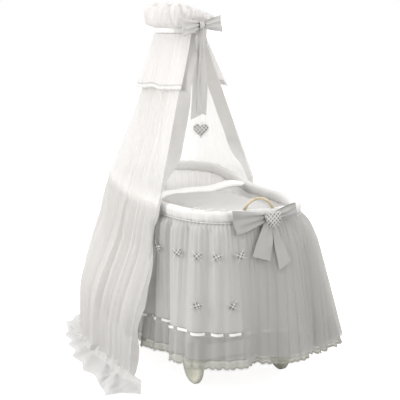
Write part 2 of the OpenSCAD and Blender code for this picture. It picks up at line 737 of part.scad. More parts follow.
crown_z = neck_z + band_h + soft_gap;
module crown_ruffle()
  color(white_cloth) difference() {
    translate([0, ring_y, crown_z]) rotate_extrude($fn = 96)
      polygon([[0, 0], [neck_r - 10, 0], [neck_r + 14, 8], [crown_r - 8, 28], [crown_r, 48],
               [crown_r - 12, 68], [crown_r - 50, crown_h - 16], [crown_r - 100, crown_h - 3],
               [0, crown_h]]);
    at_bow() rotate([0, 0, bow_turn]) translate([-110, -80, -60]) cube([220, 80 + 9, 60 + 34]);
  }

// The bow on the neck, with its tails and the heart they carry
bow_turn = opening_turn;
bow_out = neck_r + 24;
bow_z = neck_z + 30;
module at_bow() translate([bow_out * sin(bow_turn), ring_y - bow_out * cos(bow_turn), bow_z]) children();

module top_bow()
  color(taffeta) at_bow() rotate([0, 0, bow_turn]) {
    bow_loop(-1, 88, 24, -38, 14);
    bow_loop(1, 84, 26, -24, 14);
    translate([0, -3, 0]) rotate([90, 0, 0]) cylinder(r = 12, h = 20, center = true);
  }

tail_drop = 376;
tail_y = ring_y - bow_out * cos(bow_turn) - 2;
tail_x = bow_out * sin(bow_turn);
module top_bow_tails()
  color(taffeta) translate([tail_x, tail_y, 0]) rotate([90, 0, 0])
    linear_extrude(5, center = true)
      polygon([[-10, bow_z - 38], [10, bow_z - 38], [12, bow_z - tail_drop + 90],
               [2, bow_z - tail_drop], [-36, bow_z - tail_drop + 22], [-46, bow_z - tail_drop]]);

heart_size = 68;
module heart_pendant()
  color("#7b7973") translate([tail_x - 12, tail_y, bow_z - tail_drop - heart_size / 2 - 6])
    heart(heart_size, 16);

// ---------------------------------------------------------------- nodes

leg(-1, -1);  // leg_front_left
leg(1, -1);  // leg_front_right
leg(-1, 1);  // leg_rear_left
leg(1, 1);  // leg_rear_right
side_rail(-1);  // side_rail_left
side_rail(1);  // side_rail_right
end_rail(-1);  // end_rail_foot
end_rail(1);  // end_rail_head
stretcher(-1);  // stretcher_foot
stretcher(1);  // stretcher_head
locating_pegs();
stand_bolts();
axle(-1);  // axle_front
axle(1);  // axle_rear
axle_caps();
wheel(-1, -1);  // wheel_front_left
wheel(1, -1);  // wheel_front_right
wheel(-1, 1);  // wheel_rear_left
wheel(1, 1);  // wheel_rear_right
tyre(-1, -1);  // tyre_front_left
tyre(1, -1);  // tyre_front_right
tyre(-1, 1);  // tyre_rear_left
tyre(1, 1);  // tyre_rear_right
brake_brackets();
brake_pins();
brake_lever(-1);  // brake_lever_left
brake_lever(1);  // brake_lever_right
basket_base();
basket_wall();
basket_bearers();
basket_screws();
handle_foot();
mattress();
pillow();
coverlet();
head_lining();
padded_rim();
skirt_upper();
skirt_flounce();
hem_lace();
skirt_ribbon();
skirt_motifs();
foot_bow();
foot_bow_heart();
pole_bracket();
pole_socket();
clamp_screw();
canopy_pole();
canopy_ring();
veil();
veil_train();
veil_border_left();
veil_border_right();
valance();
crown_ruffle();
neck_band();
top_bow();
top_bow_tails();
heart_pendant();
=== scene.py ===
import logging
import math
from dataclasses import dataclass, field
from enum import Enum
from typing import Callable, Sequence

import bmesh
import bpy
import numpy as np
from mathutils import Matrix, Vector


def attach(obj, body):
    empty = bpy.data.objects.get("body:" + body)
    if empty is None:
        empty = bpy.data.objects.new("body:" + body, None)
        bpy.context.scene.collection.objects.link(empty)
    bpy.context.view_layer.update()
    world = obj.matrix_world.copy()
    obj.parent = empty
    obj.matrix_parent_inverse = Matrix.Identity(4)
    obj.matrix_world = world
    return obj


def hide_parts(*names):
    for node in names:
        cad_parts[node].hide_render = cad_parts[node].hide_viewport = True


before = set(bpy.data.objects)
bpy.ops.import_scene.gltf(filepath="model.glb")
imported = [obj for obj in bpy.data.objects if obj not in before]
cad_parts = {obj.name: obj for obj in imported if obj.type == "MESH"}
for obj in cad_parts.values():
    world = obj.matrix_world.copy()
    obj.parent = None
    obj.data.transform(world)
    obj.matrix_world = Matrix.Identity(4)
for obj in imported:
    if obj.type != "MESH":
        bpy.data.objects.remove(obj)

LOG = logging.getLogger("bassinet")
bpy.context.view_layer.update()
UV_NAME = "weave"
TAU = 2 * math.pi


# -------------------- shader maths

class Sock:
    """A shader socket that can be used in arithmetic."""

    def __init__(self, kit: "Kit", socket: bpy.types.NodeSocket) -> None:
        self.kit = kit
        self.socket = socket

    def __add__(self, other: "Value") -> "Sock":
        """self + other."""
        return self.kit.math("ADD", self, other)

    def __radd__(self, other: "Value") -> "Sock":
        """other + self."""
        return self.kit.math("ADD", other, self)

    def __sub__(self, other: "Value") -> "Sock":
        """self - other."""
        return self.kit.math("SUBTRACT", self, other)

    def __rsub__(self, other: "Value") -> "Sock":
        """other - self."""
        return self.kit.math("SUBTRACT", other, self)

    def __mul__(self, other: "Value") -> "Sock":
        """self * other."""
        return self.kit.math("MULTIPLY", self, other)

    def __rmul__(self, other: "Value") -> "Sock":
        """other * self."""
        return self.kit.math("MULTIPLY", other, self)

    def __truediv__(self, other: "Value") -> "Sock":
        """self / other."""
        return self.kit.math("DIVIDE", self, other)

    def __rtruediv__(self, other: "Value") -> "Sock":
        """other / self."""
        return self.kit.math("DIVIDE", other, self)

    def __pow__(self, other: "Value") -> "Sock":
        """self to the power of other."""
        return self.kit.math("POWER", self, other)


Value = Sock | float
Colour = tuple[float, float, float]


class Kit:
    """Builds the node tree of one material."""

    def __init__(self, name: str) -> None:
        """Starts an empty tree with a Principled shader and its output."""
        self.material = bpy.data.materials.new(name)
        self.material.use_nodes = True
        self.tree = self.material.node_tree
        self.tree.nodes.clear()
        self.shader = self.tree.nodes.new("ShaderNodeBsdfPrincipled")
        output = self.tree.nodes.new("ShaderNodeOutputMaterial")
        self.tree.links.new(self.shader.outputs[0], output.inputs[0])

    def put(self, socket: bpy.types.NodeSocket, value: object) -> None:
        """Links a Sock to a socket, or sets the socket's own value."""
        if isinstance(value, Sock):
            self.tree.links.new(value.socket, socket)
        elif isinstance(value, tuple) and len(value) == 3 and len(socket.default_value) == 4:
            socket.default_value = (*value, 1.0)
        else:
            socket.default_value = value

    def node(self, kind: str, settings: dict[str, object] | None = None,
             inputs: dict[str | int, object] | None = None) -> bpy.types.Node:
        """Adds a node.

        Args:
            kind: the node's type, without "ShaderNode".
            settings: attributes set first; "stops" fills a colour ramp.
            inputs: values or links of its sockets, by name or number.

        Returns:
            The new node.
        """
        node = self.tree.nodes.new("ShaderNode" + kind)
        for name, value in (settings or {}).items():
            if name == "stops":
                ramp = node.color_ramp
                while len(ramp.elements) < len(value):
                    ramp.elements.new(0.5)
                for element, (at, colour) in zip(ramp.elements, value):
                    element.position = at
                    element.color = (*colour, 1.0)
            else:
                setattr(node, name, value)
        for name, value in (inputs or {}).items():
            self.put(node.inputs[name], value)
        return node

    def out(self, node: bpy.types.Node, name: str | int = 0) -> Sock:
        """An output socket of a node, as a Sock."""
        return Sock(self, node.outputs[name])

    def math(self, operation: str, a: Value, b: Value = 0.0, c: Value = 0.0) -> Sock:
        """A Math node on up to three values."""
        return self.out(self.node("Math", {"operation": operation}, {0: a, 1: b, 2: c}))

    def clamp(self, value: Sock) -> Sock:
        """A value held between 0 and 1."""
        return self.out(self.node("Clamp", None, {0: value}))

    def sine(self, value: Sock) -> Sock:
        """The sine of a value."""
        return self.math("SINE", value)

    def object_point(self) -> Sock:
        """Object coordinates."""
        return self.out(self.node("TexCoord"), "Object")

    def cloth_point(self) -> Sock:
        """The cloth's own coordinates, in metres along the weft and the warp."""
        return self.out(self.node("UVMap", {"uv_map": UV_NAME}))

    def scaled(self, point: Sock, x: float, y: float, z: float, turn: float = 0.0) -> Sock:
        """A point through a Mapping node that scales, then turns about Z."""
        mapping = self.node("Mapping", None, {"Vector": point, "Scale": (x, y, z),
                                              "Rotation": (0.0, 0.0, turn)})
        return self.out(mapping)

    def axes(self, point: Sock) -> tuple[Sock, Sock, Sock]:
        """The three numbers of a point."""
        node = self.node("SeparateXYZ", None, {0: point})
        return self.out(node, 0), self.out(node, 1), self.out(node, 2)

    def noise(self, point: Sock, scale: float, detail: float = 3.0, rough: float = 0.55) -> Sock:
        """Noise from 0 to 1."""
        node = self.node("TexNoise", None, {"Vector": point, "Scale": scale, "Detail": detail,
                                            "Roughness": rough})
        return self.out(node, 0)

    def blend(self, factor: Value, a: Colour | Sock, b: Colour | Sock, kind: str = "MIX") -> Sock:
        """A Mix of two colours."""
        node = self.node("Mix", {"data_type": "RGBA", "blend_type": kind},
                         {0: factor, 6: a, 7: b})
        return self.out(node, 2)

    def bump(self, height: Sock, depth: float, strength: float = 1.0) -> None:
        """Feeds a bump of a depth in metres to the shader's normal."""
        node = self.node("Bump", None, {"Height": height, "Distance": depth, "Strength": strength})
        self.put(self.shader.inputs["Normal"], self.out(node))

    def let_through(self, share: float, colour: Colour | Sock) -> None:
        """Lets a share of the light through the cloth."""
        thin = self.node("BsdfTranslucent", None, {0: colour})
        mix = self.node("MixShader", None, {0: share})
        output = next(n for n in self.tree.nodes if n.bl_idname == "ShaderNodeOutputMaterial")
        self.tree.links.new(self.shader.outputs[0], mix.inputs[1])
        self.tree.links.new(thin.outputs[0], mix.inputs[2])
        self.tree.links.new(mix.outputs[0], output.inputs[0])

    def set(self, **values: object) -> None:
        """Sets the shader's own sockets; an underscore in a name stands for a space."""
        for name, value in values.items():
            self.put(self.shader.inputs[name.replace("_", " ")], value)


# -------------------- finishes

@dataclass(frozen=True)
class Finish:
    """What every finish has: a material's name, its colour and how rough it is."""

    name: str
    colour: Colour
    rough: float

    def build(self) -> bpy.types.Material:
        """The material, made the first time it is asked for."""
        made = bpy.data.materials.get("finish_" + self.name)
        if made is None:
            kit = Kit("finish_" + self.name)
            self.dress(kit)
            made = kit.material
        return made

    def dress(self, kit: Kit) -> None:
        """Fills in the material's nodes."""
        raise NotImplementedError

    def darker(self, share: float) -> Colour:
        """The finish's colour, times a share."""
        return tuple(c * share for c in self.colour)


@dataclass(frozen=True)
class Cloth(Finish):
    """A plain woven cloth, sheer or closed, with slubs and a soft crease here and there."""

    alpha: float = 1.0
    pitch: float = 0.0012
    slub: float = 0.08
    crease: float = 0.0012
    sheen: float = 0.25
    rib: float = 0.0
    glow: float = 0.0

    def dress(self, kit: Kit) -> None:
        """Thread crossings, slubs along both threads, soft creases and an even film of cloth."""
        point = kit.cloth_point()
        u, v, _ = kit.axes(point)
        weft = kit.noise(kit.scaled(point, 18.0, 700.0, 1.0), 1.0, 2.0)
        warp = kit.noise(kit.scaled(point, 700.0, 18.0, 1.0), 1.0, 2.0)
        slubs = (weft + warp) * 0.5
        soft = kit.noise(point, 9.0, 4.0)
        threads = kit.sine(u * (TAU / self.pitch)) * kit.sine(v * (TAU / self.pitch))
        shade = (slubs - 0.5) * (2.0 * self.slub) + (soft - 0.5) * 0.10 + 0.5
        base = kit.blend(kit.clamp(shade), self.darker(0.88), self.darker(1.07))
        height = soft * 1.0 + slubs * 0.25 + threads * 0.04
        if self.rib:
            ribs = kit.math("ABSOLUTE", kit.sine(v * (math.pi / self.rib)))
            height = height + ribs * 1.6
            # Darker in the grooves between the ribs: painted shade in the quilting.
            base = kit.blend(ribs, kit.blend(0.5, base, self.darker(0.80)), base)
        kit.bump(height, self.crease, 0.7)
        kit.set(Base_Color=base, Roughness=self.rough, Sheen_Weight=self.sheen,
                Sheen_Roughness=0.5, Specular_IOR_Level=0.25)
        if self.glow:
            kit.let_through(self.glow, self.darker(1.03))
        if self.alpha < 1.0:
            film = self.alpha + (slubs - 0.5) * 0.16 + threads * 0.03
            kit.set(Alpha=kit.clamp(film))


@dataclass(frozen=True)
class Silk(Finish):
    """Taffeta or satin: a smooth cloth with cross slubs and a sheen."""

    slub: float = 0.10
    crease: float = 0.0015
    alpha: float = 1.0

    def dress(self, kit: Kit) -> None:
        """Cross slubs, a crisp crinkle, and a gloss that follows them."""
        point = kit.cloth_point()
        cross = kit.noise(kit.scaled(point, 25.0, 900.0, 1.0), 1.0, 2.0)
        crinkle = kit.noise(kit.scaled(point, 28.0, 20.0, 1.0), 1.0, 4.0, 0.6)
        shade = kit.clamp((cross - 0.5) * (2.5 * self.slub) + (crinkle - 0.5) * 0.5 + 0.5)
        kit.bump(crinkle + cross * 0.12, self.crease, 0.8)
        kit.set(Base_Color=kit.blend(shade, self.darker(0.84), self.darker(1.10)),
                Roughness=(crinkle - 0.5) * 0.3 + self.rough,
                Sheen_Weight=0.3, Sheen_Roughness=0.35, Specular_IOR_Level=0.5)
        if self.alpha < 1.0:
            kit.set(Alpha=self.alpha)


@dataclass(frozen=True)
class Lace(Finish):
    """Cotton lace: a net ground with a row of round flowers, open between the threads."""

    flower: float = 0.020
    net: float = 0.0032
    middle: float = 0.018

    def dress(self, kit: Kit) -> None:
        """Thread where the net or a flower is, and holes elsewhere."""
        u, v, _ = kit.axes(kit.cloth_point())
        along = kit.math("PINGPONG", u, self.flower / 2) * (2.0 / self.flower) - 0.5
        up = (v - self.middle) * (1.0 / self.flower)
        radius = kit.math("SQRT", along * along * 0.28 + up * up)
        petals = kit.math("LESS_THAN", radius, 0.30)
        heart = kit.math("LESS_THAN", radius, 0.10)
        slant = (u + v) * (TAU / self.net)
        cross = (u - v) * (TAU / self.net)
        mesh = kit.math("MAXIMUM", kit.sine(slant), kit.sine(cross))
        thread = kit.math("GREATER_THAN", mesh, 0.35)
        solid = kit.math("MAXIMUM", thread, petals - heart)
        edge = kit.math("LESS_THAN", v, self.middle * 0.45)
        cloth = kit.math("MAXIMUM", solid, edge)
        kit.bump(cloth + mesh * 0.3, 0.0012, 0.8)
        kit.set(Base_Color=kit.blend(petals, self.darker(0.94), self.darker(1.05)),
                Roughness=self.rough, Sheen_Weight=0.2, Alpha=cloth * 0.62 + 0.36)


@dataclass(frozen=True)
class Check(Finish):
    """Cotton checked on the bias, dark crossings with light lines between them."""

    light: Colour = (0.66, 0.65, 0.63)
    pitch: float = 0.0155

    def dress(self, kit: Kit) -> None:
        """Two families of bands at right angles, darkest where they cross."""
        point = kit.cloth_point()
        u, v, _ = kit.axes(point)
        steps = []
        for line in (u + v, u - v):
            band = kit.math("FRACT", line * (1.0 / self.pitch))
            steps.append(kit.math("LESS_THAN", band, 0.62))
        crossing = (steps[0] + steps[1]) * 0.5
        fine = kit.noise(point, 600.0, 2.0)
        base = kit.blend(kit.clamp(crossing * (0.92 + (fine - 0.5) * 0.3)), self.light, self.colour)
        kit.bump(fine + crossing * 0.4, 0.0008, 0.6)
        kit.set(Base_Color=base, Roughness=self.rough, Sheen_Weight=0.2)


class Grain(Enum):
    """Which way the grain of a wooden piece runs."""

    ACROSS = 0
    ALONG = 1
    UP = 2


@dataclass(frozen=True)
class Wood(Finish):
    """Wood under lacquer or oil, with grain that runs along one axis."""

    grain: Grain = Grain.ALONG
    figure: float = 0.10
    coat: float = 0.0

    def dress(self, kit: Kit) -> None:
        """Long streaks along the grain, pores, and a coat of lacquer."""
        point = kit.object_point()
        scale = [60.0, 60.0, 60.0]
        scale[self.grain.value] = 3.0
        streak = kit.noise(kit.scaled(point, *scale), 1.0, 5.0, 0.62)
        pore = kit.noise(kit.scaled(point, *(s * 6 for s in scale)), 1.0, 2.0)
        cloud = kit.noise(point, 7.0, 2.0)
        shade = kit.clamp((streak - 0.5) * 2.2 + (cloud - 0.5) * 0.6 + 0.5)
        kit.bump(streak * 0.6 + pore * 0.4, 0.0006, 0.5)
        kit.set(Base_Color=kit.blend(shade, self.darker(1 - self.figure), self.darker(1 + self.figure)),
                Roughness=(streak - 0.5) * 0.15 + self.rough, Coat_Weight=self.coat,
                Coat_Roughness=0.25)


@dataclass(frozen=True)
class Cane(Finish):
    """Varnished cane: streaks along a rod, with darker nodes here and there."""

    def dress(self, kit: Kit) -> None:
        """Fine streaks, blotches and a thin gloss."""
        point = kit.object_point()
        blotch = kit.noise(point, 22.0, 3.0)
        streak = kit.noise(kit.scaled(point, 260.0, 260.0, 30.0), 1.0, 3.0)
        shade = kit.clamp((blotch - 0.5) * 1.3 + (streak - 0.5) * 0.8 + 0.5)
        kit.bump(streak + blotch * 0.5, 0.0005, 0.6)
        kit.set(Base_Color=kit.blend(shade, self.darker(0.62), self.darker(1.25)),
                Roughness=self.rough, Coat_Weight=0.2, Coat_Roughness=0.3)


@dataclass(frozen=True)
class Metal(Finish):
    """Plated or enamelled metal, brushed or pebbled, duller where it is handled."""

    metallic: float = 1.0
    brushed: float = 1.0

    def dress(self, kit: Kit) -> None:
        """Brush marks or a light orange peel, and patches of wear."""
        point = kit.object_point()
        marks = kit.noise(kit.scaled(point, 900.0, 900.0, 40.0), 1.0, 2.0)
        peel = kit.noise(point, 420.0, 1.0)
        wear = kit.noise(point, 14.0, 4.0)
        kit.bump(marks * self.brushed + peel * (1 - self.brushed), 0.0002, 0.5)
        kit.set(Base_Color=kit.blend(kit.clamp((wear - 0.4) * 2.0), self.darker(0.86), self.colour),
                Metallic=self.metallic,
                Roughness=(wear - 0.5) * 0.22 + (marks - 0.5) * 0.1 + self.rough)


@dataclass(frozen=True)
class Moulded(Finish):
    """Moulded plastic or rubber with a fine pebble, a little darker towards the bottom."""

    pebble: float = 0.0003
    low_darkening: float = 0.12

    def dress(self, kit: Kit) -> None:
        """A fine pebble, cloudy colour and a dark brownish tone towards the bottom."""
        point = kit.object_point()
        _, _, up = kit.axes(point)
        pebble = kit.noise(point, 700.0, 2.0)
        cloud = kit.noise(point, 26.0, 3.0)
        # Darker towards the bottom, below about 8 cm above the floor.
        low = kit.clamp(1.0 - up * 12.0) * cloud
        base = kit.blend(kit.clamp((cloud - 0.5) * 1.5 + 0.5), self.darker(0.92), self.darker(1.05))
        kit.bump(pebble, self.pebble, 0.7)
        kit.set(Base_Color=kit.blend(low * self.low_darkening * 2.0, base, (0.42, 0.40, 0.35)),
                Roughness=(cloud - 0.5) * 0.2 + self.rough)


VEIL = Cloth("sheer_veil", (0.93, 0.915, 0.90), 0.85, alpha=0.80, slub=0.12, glow=0.50)
VEIL_FULL = Cloth("sheer_veil_gathered", (0.91, 0.895, 0.885), 0.85, alpha=0.95, slub=0.10, glow=0.42)
# Painted shade: a darker copy of the veil cloth for the part spread on the floor.
VEIL_FLOOR_PAINTED_SHADE = Cloth("sheer_veil_floor", (0.76, 0.75, 0.735), 0.85, alpha=0.97, slub=0.10, glow=0.25)
VOILE = Cloth("voile", (0.60, 0.59, 0.565), 0.8, alpha=0.985, slub=0.10, crease=0.002, glow=0.10)
VOILE_OVER = Cloth("voile_overlay", (0.70, 0.69, 0.665), 0.8, alpha=0.66, slub=0.10, crease=0.002, glow=0.25)
# Painted shade: the flounce voile is darker than the skirt voile, standing in for the shadow seen through the
# sheer cloth.
VOILE_SHEER_PAINTED_SHADE = Cloth("voile_flounce", (0.47, 0.465, 0.445), 0.8, alpha=0.93, slub=0.12, glow=0.15)
RIM_COTTON = Cloth("gathered_cotton", (0.75, 0.74, 0.72), 0.85, crease=0.0012)
LINING = Cloth("lining_cotton", (0.95, 0.94, 0.93), 0.85, crease=0.0012, glow=0.0)
SHEET_COTTON = Cloth("ticking", (0.90, 0.89, 0.87), 0.85)
PIQUE = Cloth("quilted_cotton", (0.60, 0.59, 0.575), 0.85, rib=0.009, crease=0.0012)
TAFFETA = Silk("taffeta", (0.60, 0.585, 0.565), 0.48)
# Painted shade: a darker copy of the bow taffeta for the bow at the shaded foot end.
TAFFETA_FOOT_PAINTED_SHADE = Silk("taffeta_foot", (0.44, 0.43, 0.415), 0.48)
# Painted shade: a darker copy of the border taffeta, used only for the left border; BAND_PALE is the
# taffeta's own colour.
BAND_PAINTED_SHADE = Silk("taffeta_band", (0.46, 0.445, 0.43), 0.50, slub=0.08, alpha=0.97)
BAND_PALE = Silk("taffeta_band_pale", (0.66, 0.645, 0.62), 0.50, slub=0.08, alpha=0.97)
SATIN = Silk("satin", (0.93, 0.925, 0.90), 0.22, slub=0.03, crease=0.0006)
LACE = Lace("lace", (0.50, 0.495, 0.435), 0.8)
LACE_WHITE = Lace("valance_lace", (0.84, 0.83, 0.81), 0.8, flower=0.016, middle=0.008)
CHECK = Check("check_cotton", (0.17, 0.165, 0.16), 0.75)
THREAD = Silk("stitching_thread", (0.80, 0.79, 0.77), 0.5, slub=0.02, crease=0.0002)
IVORY_ALONG = Wood("ivory_wood", (0.80, 0.76, 0.66), 0.38, Grain.ALONG, 0.05, 0.35)
IVORY_UP = Wood("ivory_wood_upright", (0.80, 0.76, 0.66), 0.38, Grain.UP, 0.05, 0.35)
IVORY_ACROSS = Wood("ivory_wood_across", (0.80, 0.76, 0.66), 0.38, Grain.ACROSS, 0.05, 0.35)
BEECH = Wood("beech", (0.62, 0.45, 0.28), 0.5, Grain.ALONG, 0.16, 0.0)
WICKER = Cane("wicker", (0.52, 0.36, 0.19), 0.5)
HOOP_CANE = Cane("hoop_cane", (0.64, 0.55, 0.40), 0.4)
ZINC = Metal("zinc_steel", (0.60, 0.60, 0.58), 0.34)
ENAMEL = Metal("white_steel", (0.84, 0.83, 0.80), 0.35, metallic=0.0, brushed=0.0)
CREAM = Moulded("cream_plastic", (0.95, 0.94, 0.80), 0.42)
TYRE = Moulded("cream_tyre", (0.80, 0.79, 0.67), 0.7, pebble=0.0006, low_darkening=0.25)


# -------------------- mesh making

def put_on_scene(name: str, mesh: bpy.types.Mesh, finish: Finish, smooth: bool = True) -> bpy.types.Object:
    """Makes an object of a mesh, with its finish."""
    mesh.name = name
    mesh.materials.clear()
    mesh.materials.append(finish.build())
    if smooth:
        mesh.shade_smooth()
    piece = bpy.data.objects.new(name, mesh)
    bpy.context.scene.collection.objects.link(piece)
    return piece


def face_corners(mesh: bpy.types.Mesh) -> np.ndarray:
    """The number of the vertex at each face corner."""
    corners = np.empty(len(mesh.loops), dtype=np.int64)
    mesh.loops.foreach_get("vertex_index", corners)
    return corners


def set_weave(mesh: bpy.types.Mesh, places: np.ndarray) -> None:
    """Sets the cloth's own coordinates at each face corner."""
    mesh.uv_layers[UV_NAME].data.foreach_set("uv", places.reshape(-1).astype(np.float32))


def grid(name: str, points: np.ndarray, finish: Finish, flat: tuple[float, float],
         closed: bool = False, flip: bool = False, cap: bool = False) -> bpy.types.Object:
    """A cloth or a shell from a grid of points.

    Args:
        name: the piece's name.
        points: columns by rows by 3. Rows run up or inwards.
        finish: what it is made of.
        flat: size of the cloth's coordinates, in metres.
        closed: whether the last column joins the first.
        flip: turns the faces over.
        cap: closes the last row with a fan of faces.

    Returns:
        The new object.
    """
    columns, rows = points.shape[:2]
    index = np.arange(columns * rows).reshape(columns, rows)
    right = np.roll(index, -1, 0) if closed else index[1:]
    left = index if closed else index[:-1]
    quads = np.stack([left[:, :-1], right[:, :-1], right[:, 1:], left[:, 1:]], -1).reshape(-1, 4)
    if flip:
        quads = quads[:, ::-1]
    faces = quads.tolist()
    if cap:
        last = index[:, -1].tolist()
        faces.append(last[::-1] if flip else last)
    mesh = bpy.data.meshes.new(name)
    mesh.from_pydata(points.reshape(-1, 3).tolist(), [], faces)
    mesh.uv_layers.new(name=UV_NAME)
    steps = columns if closed else columns - 1
    across = np.arange(columns + 1) / steps * flat[0]
    up = np.arange(rows) / max(rows - 1, 1) * flat[1]
    corners = face_corners(mesh)
    column, row = corners // rows, corners % rows
    if closed:
        wraps = np.zeros(len(corners), dtype=bool)
        size = len(quads) * 4
        quad_columns = column[:size].reshape(-1, 4)
        seam = (quad_columns.max(1) == columns - 1) & (quad_columns.min(1) == 0)
        wraps[:size] = (seam[:, None] & (quad_columns == 0)).reshape(-1)
        column = np.where(wraps, columns, column)
    set_weave(mesh, np.stack([across[column], up[row]], -1))
    return put_on_scene(name, mesh, finish)


def thicken(piece: bpy.types.Object, depth: float) -> None:
    """Gives a cloth a thickness, half to each side."""
    solid = piece.modifiers.new("thickness", "SOLIDIFY")
    solid.thickness = depth
    solid.offset = 0.0


def polyline(name: str, runs: Sequence[np.ndarray], closed: bool = False,
             sway: Sequence[np.ndarray] | None = None) -> bpy.types.Object:
    """A mesh of bare edges for a node tree to follow.

    Args:
        name: its name.
        runs: the points of each run.
        closed: whether each run joins its own start.
        sway: one vector for each point, read by the tree as "sway".

    Returns:
        The new object.
    """
    edges: list[tuple[int, int]] = []
    start = 0
    for run in runs:
        count = len(run)
        edges += [(start + i, start + i + 1) for i in range(count - 1)]
        if closed:
            edges.append((start + count - 1, start))
        start += count
    mesh = bpy.data.meshes.new(name)
    mesh.from_pydata(np.concatenate(runs).tolist(), edges, [])
    layer = mesh.attributes.new("sway", "FLOAT_VECTOR", "POINT")
    values = np.zeros((start, 3)) if sway is None else np.concatenate(sway)
    layer.data.foreach_set("vector", values.reshape(-1).astype(np.float32))
    guide = bpy.data.objects.new(name, mesh)
    bpy.context.scene.collection.objects.link(guide)
    return guide


class Tree:
    """A Geometry Nodes tree that is built in steps."""

    def __init__(self, name: str, sizes: dict[str, float]) -> None:
        """Starts a tree with a geometry input, named sizes and a material input."""
        self.group = bpy.data.node_groups.new(name, "GeometryNodeTree")
        face = self.group.interface
        face.new_socket("Geometry", in_out="OUTPUT", socket_type="NodeSocketGeometry")
        face.new_socket("Geometry", in_out="INPUT", socket_type="NodeSocketGeometry")
        for size, value in sizes.items():
            face.new_socket(size, in_out="INPUT", socket_type="NodeSocketFloat").default_value = value
        face.new_socket("Material", in_out="INPUT", socket_type="NodeSocketMaterial")
        self.inputs = self.group.nodes.new("NodeGroupInput")
        self.outputs = self.group.nodes.new("NodeGroupOutput")

    def node(self, kind: str, settings: dict[str, object] | None = None,
             inputs: dict[str | int, object] | None = None) -> bpy.types.Node:
        """Adds a node, sets its attributes and then its sockets."""
        node = self.group.nodes.new(kind)
        for name, value in (settings or {}).items():
            setattr(node, name, value)
        for name, value in (inputs or {}).items():
            if isinstance(value, bpy.types.NodeSocket):
                self.group.links.new(value, node.inputs[name])
            else:
                node.inputs[name].default_value = value
        return node

    def finish(self, geometry: bpy.types.NodeSocket) -> bpy.types.GeometryNodeTree:
        """Ends the tree in Realize Instances and Set Material."""
        real = self.node("GeometryNodeRealizeInstances", None, {"Geometry": geometry})
        dressed = self.node("GeometryNodeSetMaterial", None,
                            {"Geometry": real.outputs[0], "Material": self.inputs.outputs["Material"]})
        self.group.links.new(dressed.outputs[0], self.outputs.inputs[0])
        return self.group


def strand_tree() -> bpy.types.GeometryNodeTree:
    """Rods along edges: each point moves by its sway, then a round rod follows the run."""
    tree = Tree("strands", {"Radius": 0.002, "Sway": 1.0, "Sides": 6.0})
    curve = tree.node("GeometryNodeMeshToCurve", None, {"Mesh": tree.inputs.outputs["Geometry"]})
    sway = tree.node("GeometryNodeInputNamedAttribute", {"data_type": "FLOAT_VECTOR"}, {"Name": "sway"})
    moved = tree.node("ShaderNodeVectorMath", {"operation": "SCALE"},
                      {0: sway.outputs[0], "Scale": tree.inputs.outputs["Sway"]})
    placed = tree.node("GeometryNodeSetPosition", None,
                       {"Geometry": curve.outputs[0], "Offset": moved.outputs[0]})
    ring = tree.node("GeometryNodeCurvePrimitiveCircle", None,
                     {"Resolution": tree.inputs.outputs["Sides"], "Radius": tree.inputs.outputs["Radius"]})
    rods = tree.node("GeometryNodeCurveToMesh", None,
                     {"Curve": placed.outputs[0], "Profile Curve": ring.outputs[0], "Fill Caps": True})
    smooth = tree.node("GeometryNodeSetShadeSmooth", None, {0: rods.outputs[0]})
    return tree.finish(smooth.outputs[0])


def row_tree(name: str, bead: Callable[["Tree"], bpy.types.NodeSocket],
             sizes: dict[str, float]) -> bpy.types.GeometryNodeTree:
    """Small shapes in a row along edges, turned to follow them.

    Args:
        name: the tree's name.
        bead: makes the shape that is repeated and returns its socket.
        sizes: the tree's sizes; Pitch is the step along the run.

    Returns:
        The tree.
    """
    tree = Tree(name, {"Pitch": 0.004, **sizes})
    curve = tree.node("GeometryNodeMeshToCurve", None, {"Mesh": tree.inputs.outputs["Geometry"]})
    steps = tree.node("GeometryNodeResampleCurve", {"mode": "LENGTH"},
                      {"Curve": curve.outputs[0], "Length": tree.inputs.outputs["Pitch"]})
    tangent = tree.node("GeometryNodeInputTangent")
    turn = tree.node("FunctionNodeAlignRotationToVector", {"axis": "X"}, {"Vector": tangent.outputs[0]})
    points = tree.node("GeometryNodeInstanceOnPoints", None,
                       {"Points": steps.outputs[0], "Instance": bead(tree), "Rotation": turn.outputs[0]})
    return tree.finish(points.outputs[0])


def stitch_bead(tree: Tree) -> bpy.types.NodeSocket:
    """One stitch: a short low grain of thread."""
    grain = tree.node("GeometryNodeMeshUVSphere", None, {"Segments": 6, "Rings": 4, "Radius": 1.0})
    size = tree.node("ShaderNodeCombineXYZ", None, {0: tree.inputs.outputs["Length"],
                                                    1: tree.inputs.outputs["Thread"],
                                                    2: tree.inputs.outputs["Thread"]})
    shaped = tree.node("GeometryNodeTransform", None,
                       {"Geometry": grain.outputs[0], "Scale": size.outputs[0]})
    return shaped.outputs[0]


def picot_bead(tree: Tree) -> bpy.types.NodeSocket:
    """One picot: a small thread ring that hangs under the edge."""
    ring = tree.node("GeometryNodeCurvePrimitiveCircle", None,
                     {"Resolution": 8, "Radius": tree.inputs.outputs["Loop"]})
    thread = tree.node("GeometryNodeCurvePrimitiveCircle", None,
                       {"Resolution": 4, "Radius": tree.inputs.outputs["Thread"]})
    tube = tree.node("GeometryNodeCurveToMesh", None,
                     {"Curve": ring.outputs[0], "Profile Curve": thread.outputs[0]})
    stood = tree.node("GeometryNodeTransform", None,
                      {"Geometry": tube.outputs[0], "Rotation": (math.pi / 2, 0.0, 0.0)})
    return stood.outputs[0]


